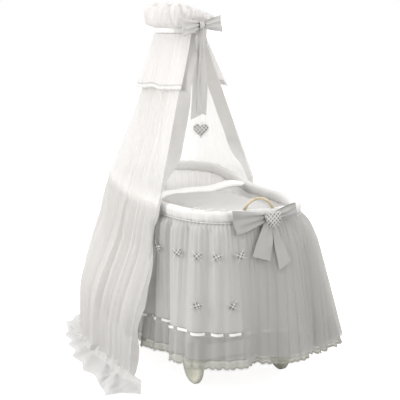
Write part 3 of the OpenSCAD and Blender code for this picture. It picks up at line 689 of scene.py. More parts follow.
class Trees:
    """The node trees, each made once."""

    made: dict[str, bpy.types.GeometryNodeTree] = {}

    @classmethod
    def get(cls, name: str) -> bpy.types.GeometryNodeTree:
        """A tree by name: strands, stitches or picots."""
        if name not in cls.made:
            if name == "strands":
                cls.made[name] = strand_tree()
            elif name == "stitches":
                cls.made[name] = row_tree(name, stitch_bead, {"Length": 0.0014, "Thread": 0.0005})
            else:
                cls.made[name] = row_tree(name, picot_bead, {"Loop": 0.003, "Thread": 0.0006})
        return cls.made[name]


def grow_piece(guide: bpy.types.Object, tree: str, finish: Finish, **sizes: float) -> bpy.types.Object:
    """Runs a tree on a guide and returns the plain mesh piece it makes.

    Args:
        guide: the bare edges to follow; it is removed.
        tree: which tree.
        finish: the finish of the result.
        **sizes: the tree's named sizes.

    Returns:
        The new object, with no modifier.
    """
    group = Trees.get(tree)
    modifier = guide.modifiers.new(tree, "NODES")
    modifier.node_group = group
    sockets = {item.name: item.identifier for item in group.interface.items_tree
               if item.item_type == "SOCKET" and item.in_out == "INPUT"}
    for name, value in sizes.items():
        modifier[sockets[name]] = value
    modifier[sockets["Material"]] = finish.build()
    guide.update_tag()
    bpy.context.view_layer.update()
    evaluated = guide.evaluated_get(bpy.context.evaluated_depsgraph_get())
    mesh = bpy.data.meshes.new_from_object(evaluated)
    name = guide.name
    bare = guide.data
    guide.modifiers.clear()
    bpy.data.objects.remove(guide)
    bpy.data.meshes.remove(bare)
    for layer in [a.name for a in mesh.attributes if a.name == "sway"]:
        mesh.attributes.remove(mesh.attributes[layer])
    return put_on_scene(name, mesh, finish)


def settle(piece: bpy.types.Object, body: str, slot: str, *nodes: str) -> bpy.types.Object:
    """Rides a piece on a body, hides the CAD nodes it stands for, and reports it."""
    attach(piece, body)
    if nodes:
        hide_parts(*nodes)
    LOG.info("%s: %d faces, rides on %s", piece.name, len(piece.data.polygons), body)
    return piece


# -------------------- the shared form

def smooth(x: np.ndarray | float) -> np.ndarray:
    """A smooth step from 0 to 1."""
    t = np.clip(x, 0.0, 1.0)
    return t * t * (3 - 2 * t)


def folds(u: np.ndarray, count: int, seed: int, wander: float = 0.35, vary: float = 0.4) -> np.ndarray:
    """Folds round a cloth, from about -1 to 1, that repeat after u = 1.

    Args:
        u: place along the cloth.
        count: folds in the whole length.
        seed: fixed seed of their unevenness.
        wander: how uneven their widths are.
        vary: how uneven their depths are.

    Returns:
        The height of the fold at each place.
    """
    rng = np.random.default_rng(seed)
    phase = np.zeros_like(u)
    depth = np.ones_like(u)
    for k in range(1, 7):
        a, b = rng.uniform(0, TAU, 2)
        size = rng.uniform(0.5, 1.0) / k ** 0.5
        phase = phase + wander * size * np.sin(TAU * k * u + a) * count / 8
        depth = depth + vary * size * np.sin(TAU * (k + 2) * u + b)
    angle = TAU * count * u + phase
    return depth * (np.sin(angle) + 0.22 * np.sin(2 * angle + 0.6)) / 1.15


def ripple(a: np.ndarray, b: np.ndarray, scale: float, seed: int) -> np.ndarray:
    """A smooth uneven surface over two directions, from about -1 to 1."""
    rng = np.random.default_rng(seed)
    total = np.zeros(np.broadcast(a, b).shape)
    for _ in range(9):
        x, y = rng.normal(0, 1, 2)
        total = total + np.sin(scale * (x * a + y * b) + rng.uniform(0, TAU))
    return total / 3.0


def round_places(count: int) -> np.ndarray:
    """Places from 0 to 1 round a closed piece, one for each column."""
    return np.arange(count)[:, None] / count


def lay_out(points: np.ndarray, closed: bool) -> np.ndarray:
    """The level direction square to each column of a grid that runs anticlockwise."""
    if closed:
        step = np.roll(points, -1, 0) - np.roll(points, 1, 0)
    else:
        step = np.gradient(points, axis=0)
    across = np.stack([step[..., 1], -step[..., 0], np.zeros(step.shape[:-1])], -1)
    return across / np.maximum(np.linalg.norm(across, axis=-1, keepdims=True), 1e-9)


@dataclass(frozen=True)
class Form:
    """Sizes of the basket, the skirt and the veil, and the surfaces that follow them, in metres."""

    half_len: float = 0.500
    half_wid: float = 0.264
    square: float = 3.5
    rim_foot: float = 0.708
    head_rise: float = 0.050
    rise_start: float = -0.020
    rise_len: float = 0.445
    base_z: float = 0.460
    base_len: float = 0.410
    base_wid: float = 0.190
    wall: float = 0.010
    roll_h: float = 0.044
    roll_w: float = 0.040
    hem: float = 0.140
    flare_end: float = 0.135
    flare_left: float = 0.088
    flare_right: float = 0.118
    flounce: float = 0.132
    lace: float = 0.036
    ring_y: float = 0.200
    neck_z: float = 1.352
    neck_r: float = 0.102
    valance: float = 0.226
    opening: float = 24.0
    bed_top: float = 0.560
    bend: float = 0.93
    swell: float = 0.108
    swing: float = 0.110
    swing_drop: float = 0.53
    flare_curve: float = 0.7
    tuck_in: float = 0.022
    pull: float = 17.4
    sag: float = 0.10

    def crest(self, y: np.ndarray | float) -> np.ndarray:
        """Height of the rim's crest."""
        return self.rim_foot + self.head_rise * smooth((y - self.rise_start) / self.rise_len)

    def seam(self, y: np.ndarray | float) -> np.ndarray:
        """Height of the seam under the padded roll."""
        return self.crest(y) - self.roll_h - 0.0006

    def outline(self, t: np.ndarray, left: object, right: object, foot: object,
                head: object, square: float | None = None) -> tuple[np.ndarray, np.ndarray]:
        """A rounded oblong at an angle in degrees, with its own half size on each side."""
        n = square or self.square
        c, s = np.cos(np.radians(t)), np.sin(np.radians(t))
        w = np.where(c > 0, right, left)
        h = np.where(s > 0, head, foot)
        r = ((np.abs(c) / w) ** n + (np.abs(s) / h) ** n) ** (-1 / n)
        return r * c, r * s

    def even(self, t: np.ndarray, grow: np.ndarray | float = 0.0) -> tuple[np.ndarray, np.ndarray]:
        """The rim's outline, grown by an offset."""
        w, h = self.half_wid + grow, self.half_len + grow
        return self.outline(t, w, w, h, h)

    def wall_at(self, t: np.ndarray, share: np.ndarray | float, grow: float = 0.0) -> np.ndarray:
        """A point of the wicker wall, from the base at 0 to the roll at 1."""
        w = self.base_wid + share * (self.half_wid + self.wall / 2 - self.base_wid) + grow
        h = self.base_len + share * (self.half_len + self.wall / 2 - self.base_len) + grow
        x, y = self.outline(t, w, w, h, h)
        rim_y = self.even(t)[1]
        z = self.base_z + share * (self.seam(rim_y) - self.base_z)
        return np.stack([x, y, np.broadcast_to(z, x.shape)], -1)

    def fall(self, t: np.ndarray, z: np.ndarray) -> np.ndarray:
        """How far the skirt has flared at a height, from 0 at the seam to 1 at the hem."""
        top = self.seam(self.even(t)[1])
        return np.clip((top - z) / (top - self.hem), 0.0, 1.0) ** self.flare_curve

    def stand_off(self, t: np.ndarray, z: np.ndarray, start: np.ndarray | float,
                  sides: Sequence[np.ndarray]) -> np.ndarray:
        """Points round the basket, off it by a start and by more at the left, right and ends."""
        halves = (self.half_wid, self.half_wid, self.half_len)
        left, right, end = (half + start + more for half, more in zip(halves, sides))
        x, y = self.outline(t, left, right, end, end)
        return np.stack([x, y, z + 0.0 * x], -1)

    def flared(self, t: np.ndarray, z: np.ndarray, grow: np.ndarray | float = 0.0) -> np.ndarray:
        """A point of the skirt's surface at an angle and a height."""
        k = self.fall(t, z)
        start = self.roll_w / 2 + 0.002
        flares = (self.flare_left, self.flare_right, self.flare_end)
        return self.stand_off(t, z, start + grow, [(flare - start) * k for flare in flares])

    def rim_turn(self, u: np.ndarray) -> np.ndarray:
        """The angle on the rim where a place of the veil crosses it; slower past its bend."""
        return 213.0 - 193.5 * np.minimum(u, self.bend) - 86.0 * np.maximum(u - self.bend, 0.0)

    def veil_turn(self, u: np.ndarray, z: np.ndarray) -> np.ndarray:
        """The angle on the skirt at which a place of the veil hangs."""
        k = np.clip((self.rim_foot - z) / self.rim_foot, 0.0, 1.0)
        t = self.rim_turn(u)
        reach = np.clip(1.0 - u / 0.22, 0.0, 1.0) ** 1.5
        tuck = self.pull * (1 - 0.08 * k) + 5.5 * np.exp(-((z - 0.50) / 0.15) ** 2)
        return t + (202.0 - 181.0 * u - t) * k + tuck * reach

    def drape(self, t: np.ndarray, z: np.ndarray, rim: np.ndarray, grow: np.ndarray) -> np.ndarray:
        """A point of the veil below the rim: clear of the skirt, then swinging out further."""
        k = self.fall(t, z)
        swing = self.swing * smooth((rim - z) / self.swing_drop)
        start = self.roll_w / 2 + 0.005 + grow
        flares = (self.flare_left, self.flare_right, self.flare_end)
        sides = [np.maximum((flare - self.tuck_in) * k, swing) for flare in flares]
        return self.stand_off(t, z, start, sides)

    def veil_at(self, u: np.ndarray, z: np.ndarray, grow: np.ndarray | float = 0.0) -> np.ndarray:
        """A point of the veil's surface. u runs from the left front edge round the head."""
        u, z, grow = np.broadcast_arrays(u, z, np.asarray(grow, dtype=float))
        rim = self.crest(self.even(self.rim_turn(u))[1]) - self.roll_h / 2
        low = np.minimum(z, rim)
        swell = smooth((1 - u) / (1 - self.bend)) * smooth((u - 0.6) / 0.22)
        out = grow + self.swell * swell * (1 - smooth((rim - low) / 0.32))
        t = self.veil_turn(u, low)
        below = self.drape(t, low, rim, out)
        turn = np.radians(self.opening + 264.0 - 348.0 * u)
        radius = self.neck_r + grow
        neck = np.stack([radius * np.cos(turn), self.ring_y + radius * np.sin(turn), z], -1)
        k = np.clip((z - rim) / (self.neck_z - rim), 0.0, 1.0)
        middle = smooth(np.minimum(u, 1 - u) / 0.16)
        k = (k + (self.sag * middle - 0.03) * np.sin(math.pi * k))[..., None]
        point = below + (neck - below) * k
        point[..., 2] = z
        return point


FORM = Form()


# -------------------- skirt

@dataclass
class Skirt:
    """The long gathered skirt: its top tier, the sheer flounce, the lace hem and the ribbon."""

    form: Form = FORM
    columns: int = 1440
    lobe: float = 0.017
    pleat: float = 0.0125
    gather: float = 0.0026
    dents: tuple[tuple[float, float, float], ...] = (
        (224.0, 0.044, 4.0), (264.0, 0.046, 3.4), (243.0, -0.014, 5.0), (273.0, -0.016, 4.0),
        (287.0, 0.020, 3.5), (300.0, -0.026, 5.0), (309.0, -0.008, 4.0))

    def covered(self, t: np.ndarray) -> np.ndarray:
        """1 where the veil hangs over the skirt, 0 where it doesn't."""
        turn = np.mod(t, 360.0)
        return smooth((turn - 20.0) / 14.0) * smooth((218.0 - turn) / 14.0)

    def surface(self, z: np.ndarray, grow: float, flounce: bool) -> np.ndarray:
        """The pleated surface over every column and the given heights.

        Args:
            z: a height for each row, or a grid of them.
            grow: offset outwards.
            flounce: adds the flounce's own finer gathers.

        Returns:
            A grid of points.
        """
        u = round_places(self.columns)
        t = u * 360.0
        z = np.broadcast_to(z, (self.columns, z.shape[-1]))
        base = self.form.flared(t, z, grow)
        out = lay_out(base, True)
        top = self.form.seam(self.form.even(t)[1])
        down = np.clip((top - z) / (top - self.form.hem), 0.0, 1.0)
        side = 0.55 + 0.45 * smooth((252.0 - np.mod(t, 360.0)) / 16.0)
        move = self.lobe * down ** 1.3 * folds(u, 17, 5, 0.2, 0.25)
        sharp = folds(u, 33, 11, 0.5, 0.5)
        sharp = np.sign(sharp) * np.abs(sharp) ** 0.75
        move = move + self.pleat * side * smooth(down / 0.07) * (1.30 - 0.45 * down) * sharp
        move = move + 0.0032 * smooth(down / 0.1) * folds(u + 0.004 * down, 83, 13, 0.4, 0.6)
        move = move + self.gather * (1 - down) ** 3 * folds(u, 190, 3, 0.25, 0.5)
        move = move - 0.007 * np.clip(1 - down / 0.02, 0, 1)
        for at, depth, wide in self.dents:
            gap = (np.mod(t, 360.0) - at) / wide
            move = move - depth * down ** 1.5 * np.exp(-gap * gap)
        if flounce:
            step = np.clip((self.form.hem + self.form.flounce - z) / self.form.flounce, 0.0, 1.0)
            move = move + 0.0035 * smooth(step / 0.35) * folds(u, 104, 21, 0.3, 0.4) + 0.003 * step
        hidden = self.covered(t)
        move = move * (1 - 0.62 * hidden) - 0.014 * hidden * smooth(down / 0.2)
        point = base + out * move[..., None]
        point[..., 2] += 0.004 * down * folds(u, 17, 5, 0.2, 0.25)
        return point

    def build(self) -> None:
        """Makes the skirt's pieces."""
        form = self.form
        u = round_places(self.columns)
        t = u * 360.0
        step = np.linspace(0.0, 1.0, 34)[None, :]
        top = form.seam(form.even(t)[1]) + 0.010
        ribbon_top = form.hem + form.flounce
        heights = ribbon_top + (top - ribbon_top) * step
        upper = grid("skirt_cloth", self.surface(heights, -0.002, False), VOILE, (4.6, 0.42), True)
        settle(upper, "basket", "voile", "skirt_upper")

        low = form.hem + form.lace - 0.004
        heights = low + (ribbon_top + 0.002 - low) * np.linspace(0.0, 1.0, 14)[None, :]
        # The flounce takes the darkened voile: painted shade.
        tier = grid("skirt_tier", self.surface(heights, -0.001, True), VOILE_SHEER_PAINTED_SHADE, (4.6, 0.10), True)
        settle(tier, "basket", "voile", "skirt_flounce")

        scallop = np.abs(np.sin(math.pi * 156 * u)) ** 0.6
        foot = form.hem + 0.008 * (1 - scallop)
        heights = foot + (form.hem + form.lace - foot) * np.linspace(0.0, 1.0, 7)[None, :]
        lace = grid("hem_scallops", self.surface(heights, 0.0, True), LACE, (3.8, 0.036), True)
        settle(lace, "basket", "lace", "hem_lace")

        heights = np.linspace(ribbon_top - 0.0105, ribbon_top, 5)[None, :]
        weave = 0.0042 * np.sin(TAU * 58 * u) + 0.0012
        band = self.surface(heights, 0.0, False)
        band = band + lay_out(band, True) * weave[..., None]
        band = grid("satin_band", band, SATIN, (3.6, 0.012), True)
        settle(band, "basket", "satin", "skirt_ribbon")
        self.overlay(ribbon_top)

        edge = self.surface(np.array([[ribbon_top - 0.0135]]), 0.003, False)[:, 0]
        seam = grow_piece(polyline("ribbon_stitches", [edge], True), "stitches", THREAD,
                          Pitch=0.006, Length=0.0018, Thread=0.0006)
        settle(seam, "basket", "satin")
        hem = self.surface(foot[:, :1], 0.0005, True)[:, 0]
        picots = grow_piece(polyline("hem_picots", [hem], True), "picots", LACE,
                            Pitch=0.0085, Loop=0.0030, Thread=0.0007)
        settle(picots, "basket", "lace")

    def overlay(self, ribbon_top: float) -> None:
        """A second sheer layer that falls over the foot end and the right, past the ribbon."""
        form = self.form
        low = form.hem + form.lace - 0.006
        u = round_places(self.columns)
        top = form.seam(form.even(u * 360.0)[1]) + 0.006
        heights = low + (top - low) * np.linspace(0.0, 1.0, 40)[None, :]
        points = self.surface(heights, 0.0, False)
        drop = np.clip((top - heights) / (top - low), 0.0, 1.0)
        lift = 0.001 + 0.013 * smooth(drop / 0.25) + 0.003 * drop * folds(u, 37, 25, 0.3, 0.5)
        points = points + lay_out(points, True) * lift[..., None]
        first, last = int(self.columns * 0.719), int(self.columns * 1.03)
        index = np.arange(first, last) % self.columns
        edge = np.linspace(0, 1, len(index))[:, None, None]
        calm = smooth(edge / 0.02) * smooth((1 - edge) / 0.02)
        inner = self.surface(heights, 0.0005, False)[index]
        points = inner + (points[index] - inner) * calm
        piece = grid("skirt_overlay", points, VOILE_OVER, (1.6, 0.55))
        settle(piece, "basket", "voile")


def patch(name: str, outline: np.ndarray, place: Callable[[np.ndarray], np.ndarray],
          finish: Finish, puff: float) -> bpy.types.Object:
    """A small shaped patch of cloth, laid on a surface.

    Args:
        name: its name.
        outline: points round its edge, in its own two directions.
        place: turns points of three numbers (across, up, out) into space.
        finish: its finish.
        puff: how far its middle stands out.

    Returns:
        The new object.
    """
    count = len(outline)
    shares = np.array([1.0, 0.97, 0.8, 0.5, 0.0])
    rows = []
    for share in shares:
        lift = puff * (1 - share ** 2.2) ** 0.6 + 0.0006
        flat_points = np.concatenate([outline * share, np.full((count, 1), lift)], 1)
        rows.append(flat_points)
    front = np.stack(rows, 1)
    points = place(front.reshape(-1, 3)).reshape(front.shape)
    piece = grid(name, points, finish, (1.0, 1.0), True)
    set_weave(piece.data, front.reshape(-1, 3)[face_corners(piece.data)][:, :2])
    return piece


def heart_outline(size: float, count: int = 40) -> np.ndarray:
    """Points round a heart of a width, anticlockwise, centred."""
    a = np.linspace(0, TAU, count, endpoint=False)
    x = np.sin(a) ** 3
    y = (13 * np.cos(a) - 5 * np.cos(2 * a) - 2 * np.cos(3 * a) - np.cos(4 * a)) / 16.5
    return np.stack([-x, y - 0.02], 1) * size / 2


@dataclass(frozen=True)
class Spot:
    """A spot on a cloth: its middle and the three directions of what is sewn there."""

    centre: np.ndarray
    across: np.ndarray
    up: np.ndarray
    out: np.ndarray
    lift: float = 0.006

    def lay(self, p: np.ndarray) -> np.ndarray:
        """Points given as across, up and out, laid on the cloth."""
        return self.centre + p[:, :1] * self.across + p[:, 1:2] * self.up + (p[:, 2:] + self.lift) * self.out


@dataclass
class Motifs:
    """Small checked hearts sewn on the skirt, each with two crossed white cords."""

    form: Form = FORM
    skirt: Skirt = field(default_factory=Skirt)
    size: float = 0.034
    rows: tuple[tuple[float, tuple[float, ...]], ...] = (
        (0.548, (222.5, 234.5, 243.5, 250.5, 259.0, 318.0, 334.0)),
        (0.370, (243.5, 255.5, 311.0, 325.0, 340.0)))
    cord: tuple[float, float] = (0.020, 0.018)
    proud: float = 0.023
    proud_from: float = 258.0

    def spot(self, surface: np.ndarray, turn: float, tilt: float) -> Spot:
        """Where a motif is sewn.

        Args:
            surface: the skirt's surface, with a row below, at and above the motif.
            turn: the angle round the skirt, in degrees.
            tilt: how far the motif is turned, in radians.

        Returns:
            The spot, raised off the deeper folds at the right.
        """
        count = self.skirt.columns
        i = int(round(turn / 360 * count)) % count
        right = surface[(i + 8) % count, 1] - surface[(i - 8) % count, 1]
        up = surface[i, 2] - surface[i, 0]
        right, up = right / np.linalg.norm(right), up / np.linalg.norm(up)
        out = np.cross(right, up)
        centre = surface[i, 1] + out * (self.proud if turn > self.proud_from else 0.0)
        return Spot(centre, right * math.cos(tilt) + up * math.sin(tilt),
                    up * math.cos(tilt) - right * math.sin(tilt), out)

    def build(self) -> None:
        """Makes every motif on the skirt's pleated surface."""
        hearts = []
        cords = []
        along = np.linspace(-1, 1, 9)[:, None]
        for z, turns in self.rows:
            surface = self.skirt.surface(np.array([[z - 0.02, z, z + 0.02]]), 0.0, False)
            for k, turn in enumerate(turns):
                spot = self.spot(surface, turn, math.radians(((k * 37) % 50) - 25))
                hearts.append(patch("heart_patch", heart_outline(self.size, 24), spot.lay, CHECK, 0.003))
                for side in (-1.0, 1.0):
                    line = [along * self.cord[0], along * side * self.cord[1], 0.0035 - 0.002 * along * along]
                    cords.append(spot.lay(np.concatenate(line, 1)))
        piece = join("skirt_hearts", hearts)
        settle(piece, "basket", "check_cotton", "skirt_motifs")
        crosses = grow_piece(polyline("skirt_crosses", cords), "strands", THREAD, Radius=0.0008, Sides=5.0)
        settle(crosses, "basket", "satin")


def join(name: str, objects: list[bpy.types.Object]) -> bpy.types.Object:
    """Joins objects of one finish into one piece."""
    bpy.ops.object.select_all(action="DESELECT")
    for piece in objects:
        piece.select_set(True)
    bpy.context.view_layer.objects.active = objects[0]
    bpy.ops.object.join()
    objects[0].name = name
    objects[0].data.name = name
    return objects[0]


# -------------------- padding and bedding

@dataclass
class Padding:
    """The gathered roll round the rim and the gathered lining inside."""

    form: Form = FORM
    columns: int = 1500
    around: int = 20

    def roll(self) -> None:
        """The padded roll, with gathers across it."""
        form = self.form
        u = round_places(self.columns)
        t = u * 360.0
        a = np.arange(self.around)[None, :] / self.around * TAU
        uneven = 0.0007 * folds(u, 150, 31, 0.4, 0.8) + 0.0013 * folds(u, 67, 33, 0.6, 0.8)
        gather = uneven * (0.55 + 0.45 * np.cos(a + 0.6)) + 0.0011 * ripple(u * 90, a, 1.0, 8)
        x0, y0 = form.even(t)
        wide = form.roll_w / 2 + gather
        high = form.roll_h / 2 + gather
        c, s = np.cos(a), np.sin(a)
        full = (np.abs(c) ** 2.8 + np.abs(s) ** 2.8) ** (-1 / 2.8)
        x, y = form.even(t, wide * full * c)
        z = form.crest(y0) - form.roll_h / 2 + high * full * s
        points = np.stack([x, y, z + 0.0 * x], -1)
        points = np.concatenate([points, points[:, :1]], 1)
        piece = grid("rim_roll", points, RIM_COTTON, (3.4, 0.14), True)
        weld(piece)
        settle(piece, "basket", "gathered_cotton", "padded_rim")
        seam_t = np.linspace(0, 360, 900, endpoint=False)
        sx, sy = form.even(seam_t, form.roll_w / 2 - 0.001 + 0.0012 * folds(seam_t / 360, 150, 31, 0.3, 0.6))
        line = np.stack([sx, sy, form.seam(form.even(seam_t)[1]) + 0.003], -1)
        piping = grow_piece(polyline("rim_piping", [line], True), "strands", RIM_COTTON, Radius=0.0022)
        settle(piping, "basket", "gathered_cotton")

    def lining(self) -> None:
        """The gathered lining from the roll down to the mattress."""
        form = self.form
        u = round_places(1100)
        t = u * 360.0
        low = (form.bed_top - 0.004 - form.base_z) / (form.seam(form.even(t)[1]) - form.base_z)
        share = low + (1.02 - low) * np.linspace(0, 1, 16)[None, :]
        base = form.wall_at(t, share, -form.wall - 0.0045)
        out = lay_out(base, True)
        deep = np.linspace(1.0, 0.35, 16)[None, :]
        move = 0.0032 * deep * folds(u, 92, 41, 0.3, 0.5) + 0.001 * folds(u, 210, 43, 0.3, 0.5)
        points = base + out * (move - 0.0015)[..., None]
        piece = grid("lining_cloth", points, LINING, (3.4, 0.17), True, flip=True)
        settle(piece, "basket", "gathered_cotton", "head_lining")

    def loops(self) -> None:
        """Three small loops of bias binding on the near side of the roll."""
        form = self.form
        runs = []
        for turn, size in ((242.0, 0.014), (248.0, 0.012), (254.0, 0.013)):
            x, y = form.even(np.array([turn]), 0.004)
            z = form.crest(y) + 0.0005
            a = np.linspace(-0.2, math.pi + 0.2, 14)
            along = np.array([-math.sin(math.radians(turn)), math.cos(math.radians(turn)), 0.0])
            centre = np.array([x[0], y[0], z[0]])
            runs.append(centre + size * np.cos(a)[:, None] * along
                        + np.array([0, 0, 1.0]) * (0.5 * size * np.sin(a))[:, None])
        piece = grow_piece(polyline("rim_loops", runs), "strands", RIM_COTTON, Radius=0.0024)
        settle(piece, "basket", "gathered_cotton")

    def build(self) -> None:
        """Makes the roll, the lining and the loops."""
        self.roll()
        self.lining()
        self.loops()


def weld(piece: bpy.types.Object, reach: float = 1e-5) -> None:
    """Merges points that lie together and turns every face outwards."""
    shape = bmesh.new()
    shape.from_mesh(piece.data)
    bmesh.ops.remove_doubles(shape, verts=shape.verts, dist=reach)
    bmesh.ops.recalc_face_normals(shape, faces=shape.faces)
    shape.to_mesh(piece.data)
    shape.free()


@dataclass
class Bedding:
    """Mattress, pillow and the coverlet with its turned-down band."""

    form: Form = FORM
    head_y: float = 0.158
    cuff_mid: float = 0.0315
    cuff_half: float = 0.2035

    def cushion(self, name: str, centre: tuple[float, float, float], half: tuple[float, float],
                rings: Sequence[tuple[float, float]], square: float, finish: Finish,
                wrinkle: float, seed: int) -> bpy.types.Object:
        """A closed cushion of stacked rings that close at the top and the bottom.

        Args:
            name: its name.
            centre: the middle of its underside.
            half: half its width and half its length.
            rings: a share of the half sizes and a height for each ring, from the bottom.
            square: squareness of its outline.
            finish: its finish.
            wrinkle: depth of its wrinkles.
            seed: seed of its wrinkles.

        Returns:
            The new object.
        """
        count = 220
        t = np.arange(count)[:, None] * 360.0 / count
        shares = np.array([r[0] for r in rings])
        heights = np.array([r[1] for r in rings])
        steps = np.linspace(0, len(rings) - 1, (len(rings) - 1) * 5 + 1)
        k = np.interp(steps, np.arange(len(rings)), shares)[None, :]
        z = np.interp(steps, np.arange(len(rings)), heights)[None, :]
        x, y = self.form.outline(t, half[0], half[0], half[1], half[1], square)
        bump = wrinkle * ripple(x * k, y * k, 55.0, seed) * np.clip(z / heights.max() * 1.6 - 0.3, 0, 1)
        points = np.stack([centre[0] + x * k, centre[1] + y * k, centre[2] + z + bump + 0 * x], -1)
        piece = grid(name, points, finish, (1.2, 0.6), True)
        planar_uv(piece)
        weld(piece, 1e-6)
        return piece

    def build(self) -> None:
        """Makes the three pieces and their stitching."""
        form = self.form
        bed = self.cushion("mattress_pad", (0, 0, form.base_z + 0.0105), (0.176, 0.396),
                           [(0.0, 0.0), (0.96, 0.0), (0.99, 0.006), (1.0, 0.02), (1.0, 0.066),
                            (0.99, 0.080), (0.955, 0.088), (0.6, 0.0885), (0.0, 0.089)],
                           3.4, SHEET_COTTON, 0.0004, 3)
        settle(bed, "basket", "ticking", "mattress")
        t = np.linspace(0, 360, 400, endpoint=False)
        runs = []
        for z in (0.012, 0.078):
            x, y = form.outline(t, 0.178, 0.178, 0.398, 0.398, 3.4)
            runs.append(np.stack([x, y, np.full_like(x, form.base_z + 0.010 + z)], -1))
        piping = grow_piece(polyline("mattress_piping", runs, True), "strands", SHEET_COTTON, Radius=0.0022)
        settle(piping, "basket", "ticking")

        pillow = self.cushion("pillow_soft", (0, 0.287, form.bed_top + 0.001), (0.148, 0.088),
                              [(0.0, 0.0), (0.7, 0.0), (0.93, 0.010), (1.0, 0.022), (0.95, 0.036),
                               (0.8, 0.050), (0.5, 0.058), (0.0, 0.061)], 3.0, SHEET_COTTON, 0.0012, 5)
        settle(pillow, "basket", "ticking", "pillow")

        middle = (self.head_y - form.base_len + 0.004) / 2 - 0.016
        half = self.head_y - 0.030 - middle
        cover = self.cushion("coverlet_body", (0, middle, form.bed_top + 0.001), (0.181, half),
                             [(0.0, 0.0), (0.84, 0.0), (0.95, 0.014), (1.0, 0.045), (1.0, 0.080),
                              (0.965, 0.104), (0.90, 0.116), (0.78, 0.1225), (0.5, 0.126), (0.0, 0.128)],
                             3.2, PIQUE, 0.0022, 9)
        settle(cover, "basket", "quilted_cotton", "coverlet")
        self.turn_down(middle, half)

    def turn_down(self, middle: float, half: float) -> None:
        """The cuff that is folded back over the coverlet's head end."""
        across = np.linspace(-1, 1, 90)[:, None]
        turn = np.linspace(0, TAU, 36, endpoint=False)[None, :]
        x = self.cuff_mid + across * self.cuff_half
        line = self.head_y - 0.062 - 0.045 * smooth((x - 0.03) / 0.19) - 0.022 * smooth((-x - 0.10) / 0.07)
        line = line + 0.003 * np.sin(x * 31)
        top = self.form.bed_top + 0.125 + 0.026 * smooth((x - 0.05) / 0.15) + 0.0015 * np.sin(x * 45 + 1)
        top = top - 0.030 * np.clip(-across, 0, 1) ** 4
        full = (1 - np.abs(across) ** 9) ** 0.5
        c, s = np.cos(turn), np.sin(turn)
        lump = 1 + 0.05 * ripple(x * 55, turn, 1.0, 17)
        y = line + 0.032 * np.sign(c) * np.abs(c) ** 0.8 * full * lump
        z = top + 0.0135 * np.sign(s) * np.abs(s) ** 0.8 * full * lump
        points = np.stack([x + 0 * turn, y, z], -1)
        points = np.concatenate([points, points[:, :1]], 1)
        piece = grid("coverlet_cuff", points, LINING, (0.336, 0.12), flip=True)
        weld(piece)
        settle(piece, "basket", "quilted_cotton")
        hem = points[2:-2, 17] + np.array([0, 0.004, 0.0035])
        stitches = grow_piece(polyline("cuff_stitches", [hem]), "stitches", THREAD, Pitch=0.005)
        settle(stitches, "basket", "quilted_cotton")


def planar_uv(piece: bpy.types.Object) -> None:
    """Sets a piece's cloth coordinates to its X and Y in metres, drawn out over its steep sides."""
    mesh = piece.data
    points = np.empty(len(mesh.vertices) * 3)
    mesh.vertices.foreach_get("co", points)
    own = points.reshape(-1, 3)[face_corners(mesh)]
    set_weave(mesh, own[:, :2] + own[:, 2:] * 0.5)


# -------------------- canopy

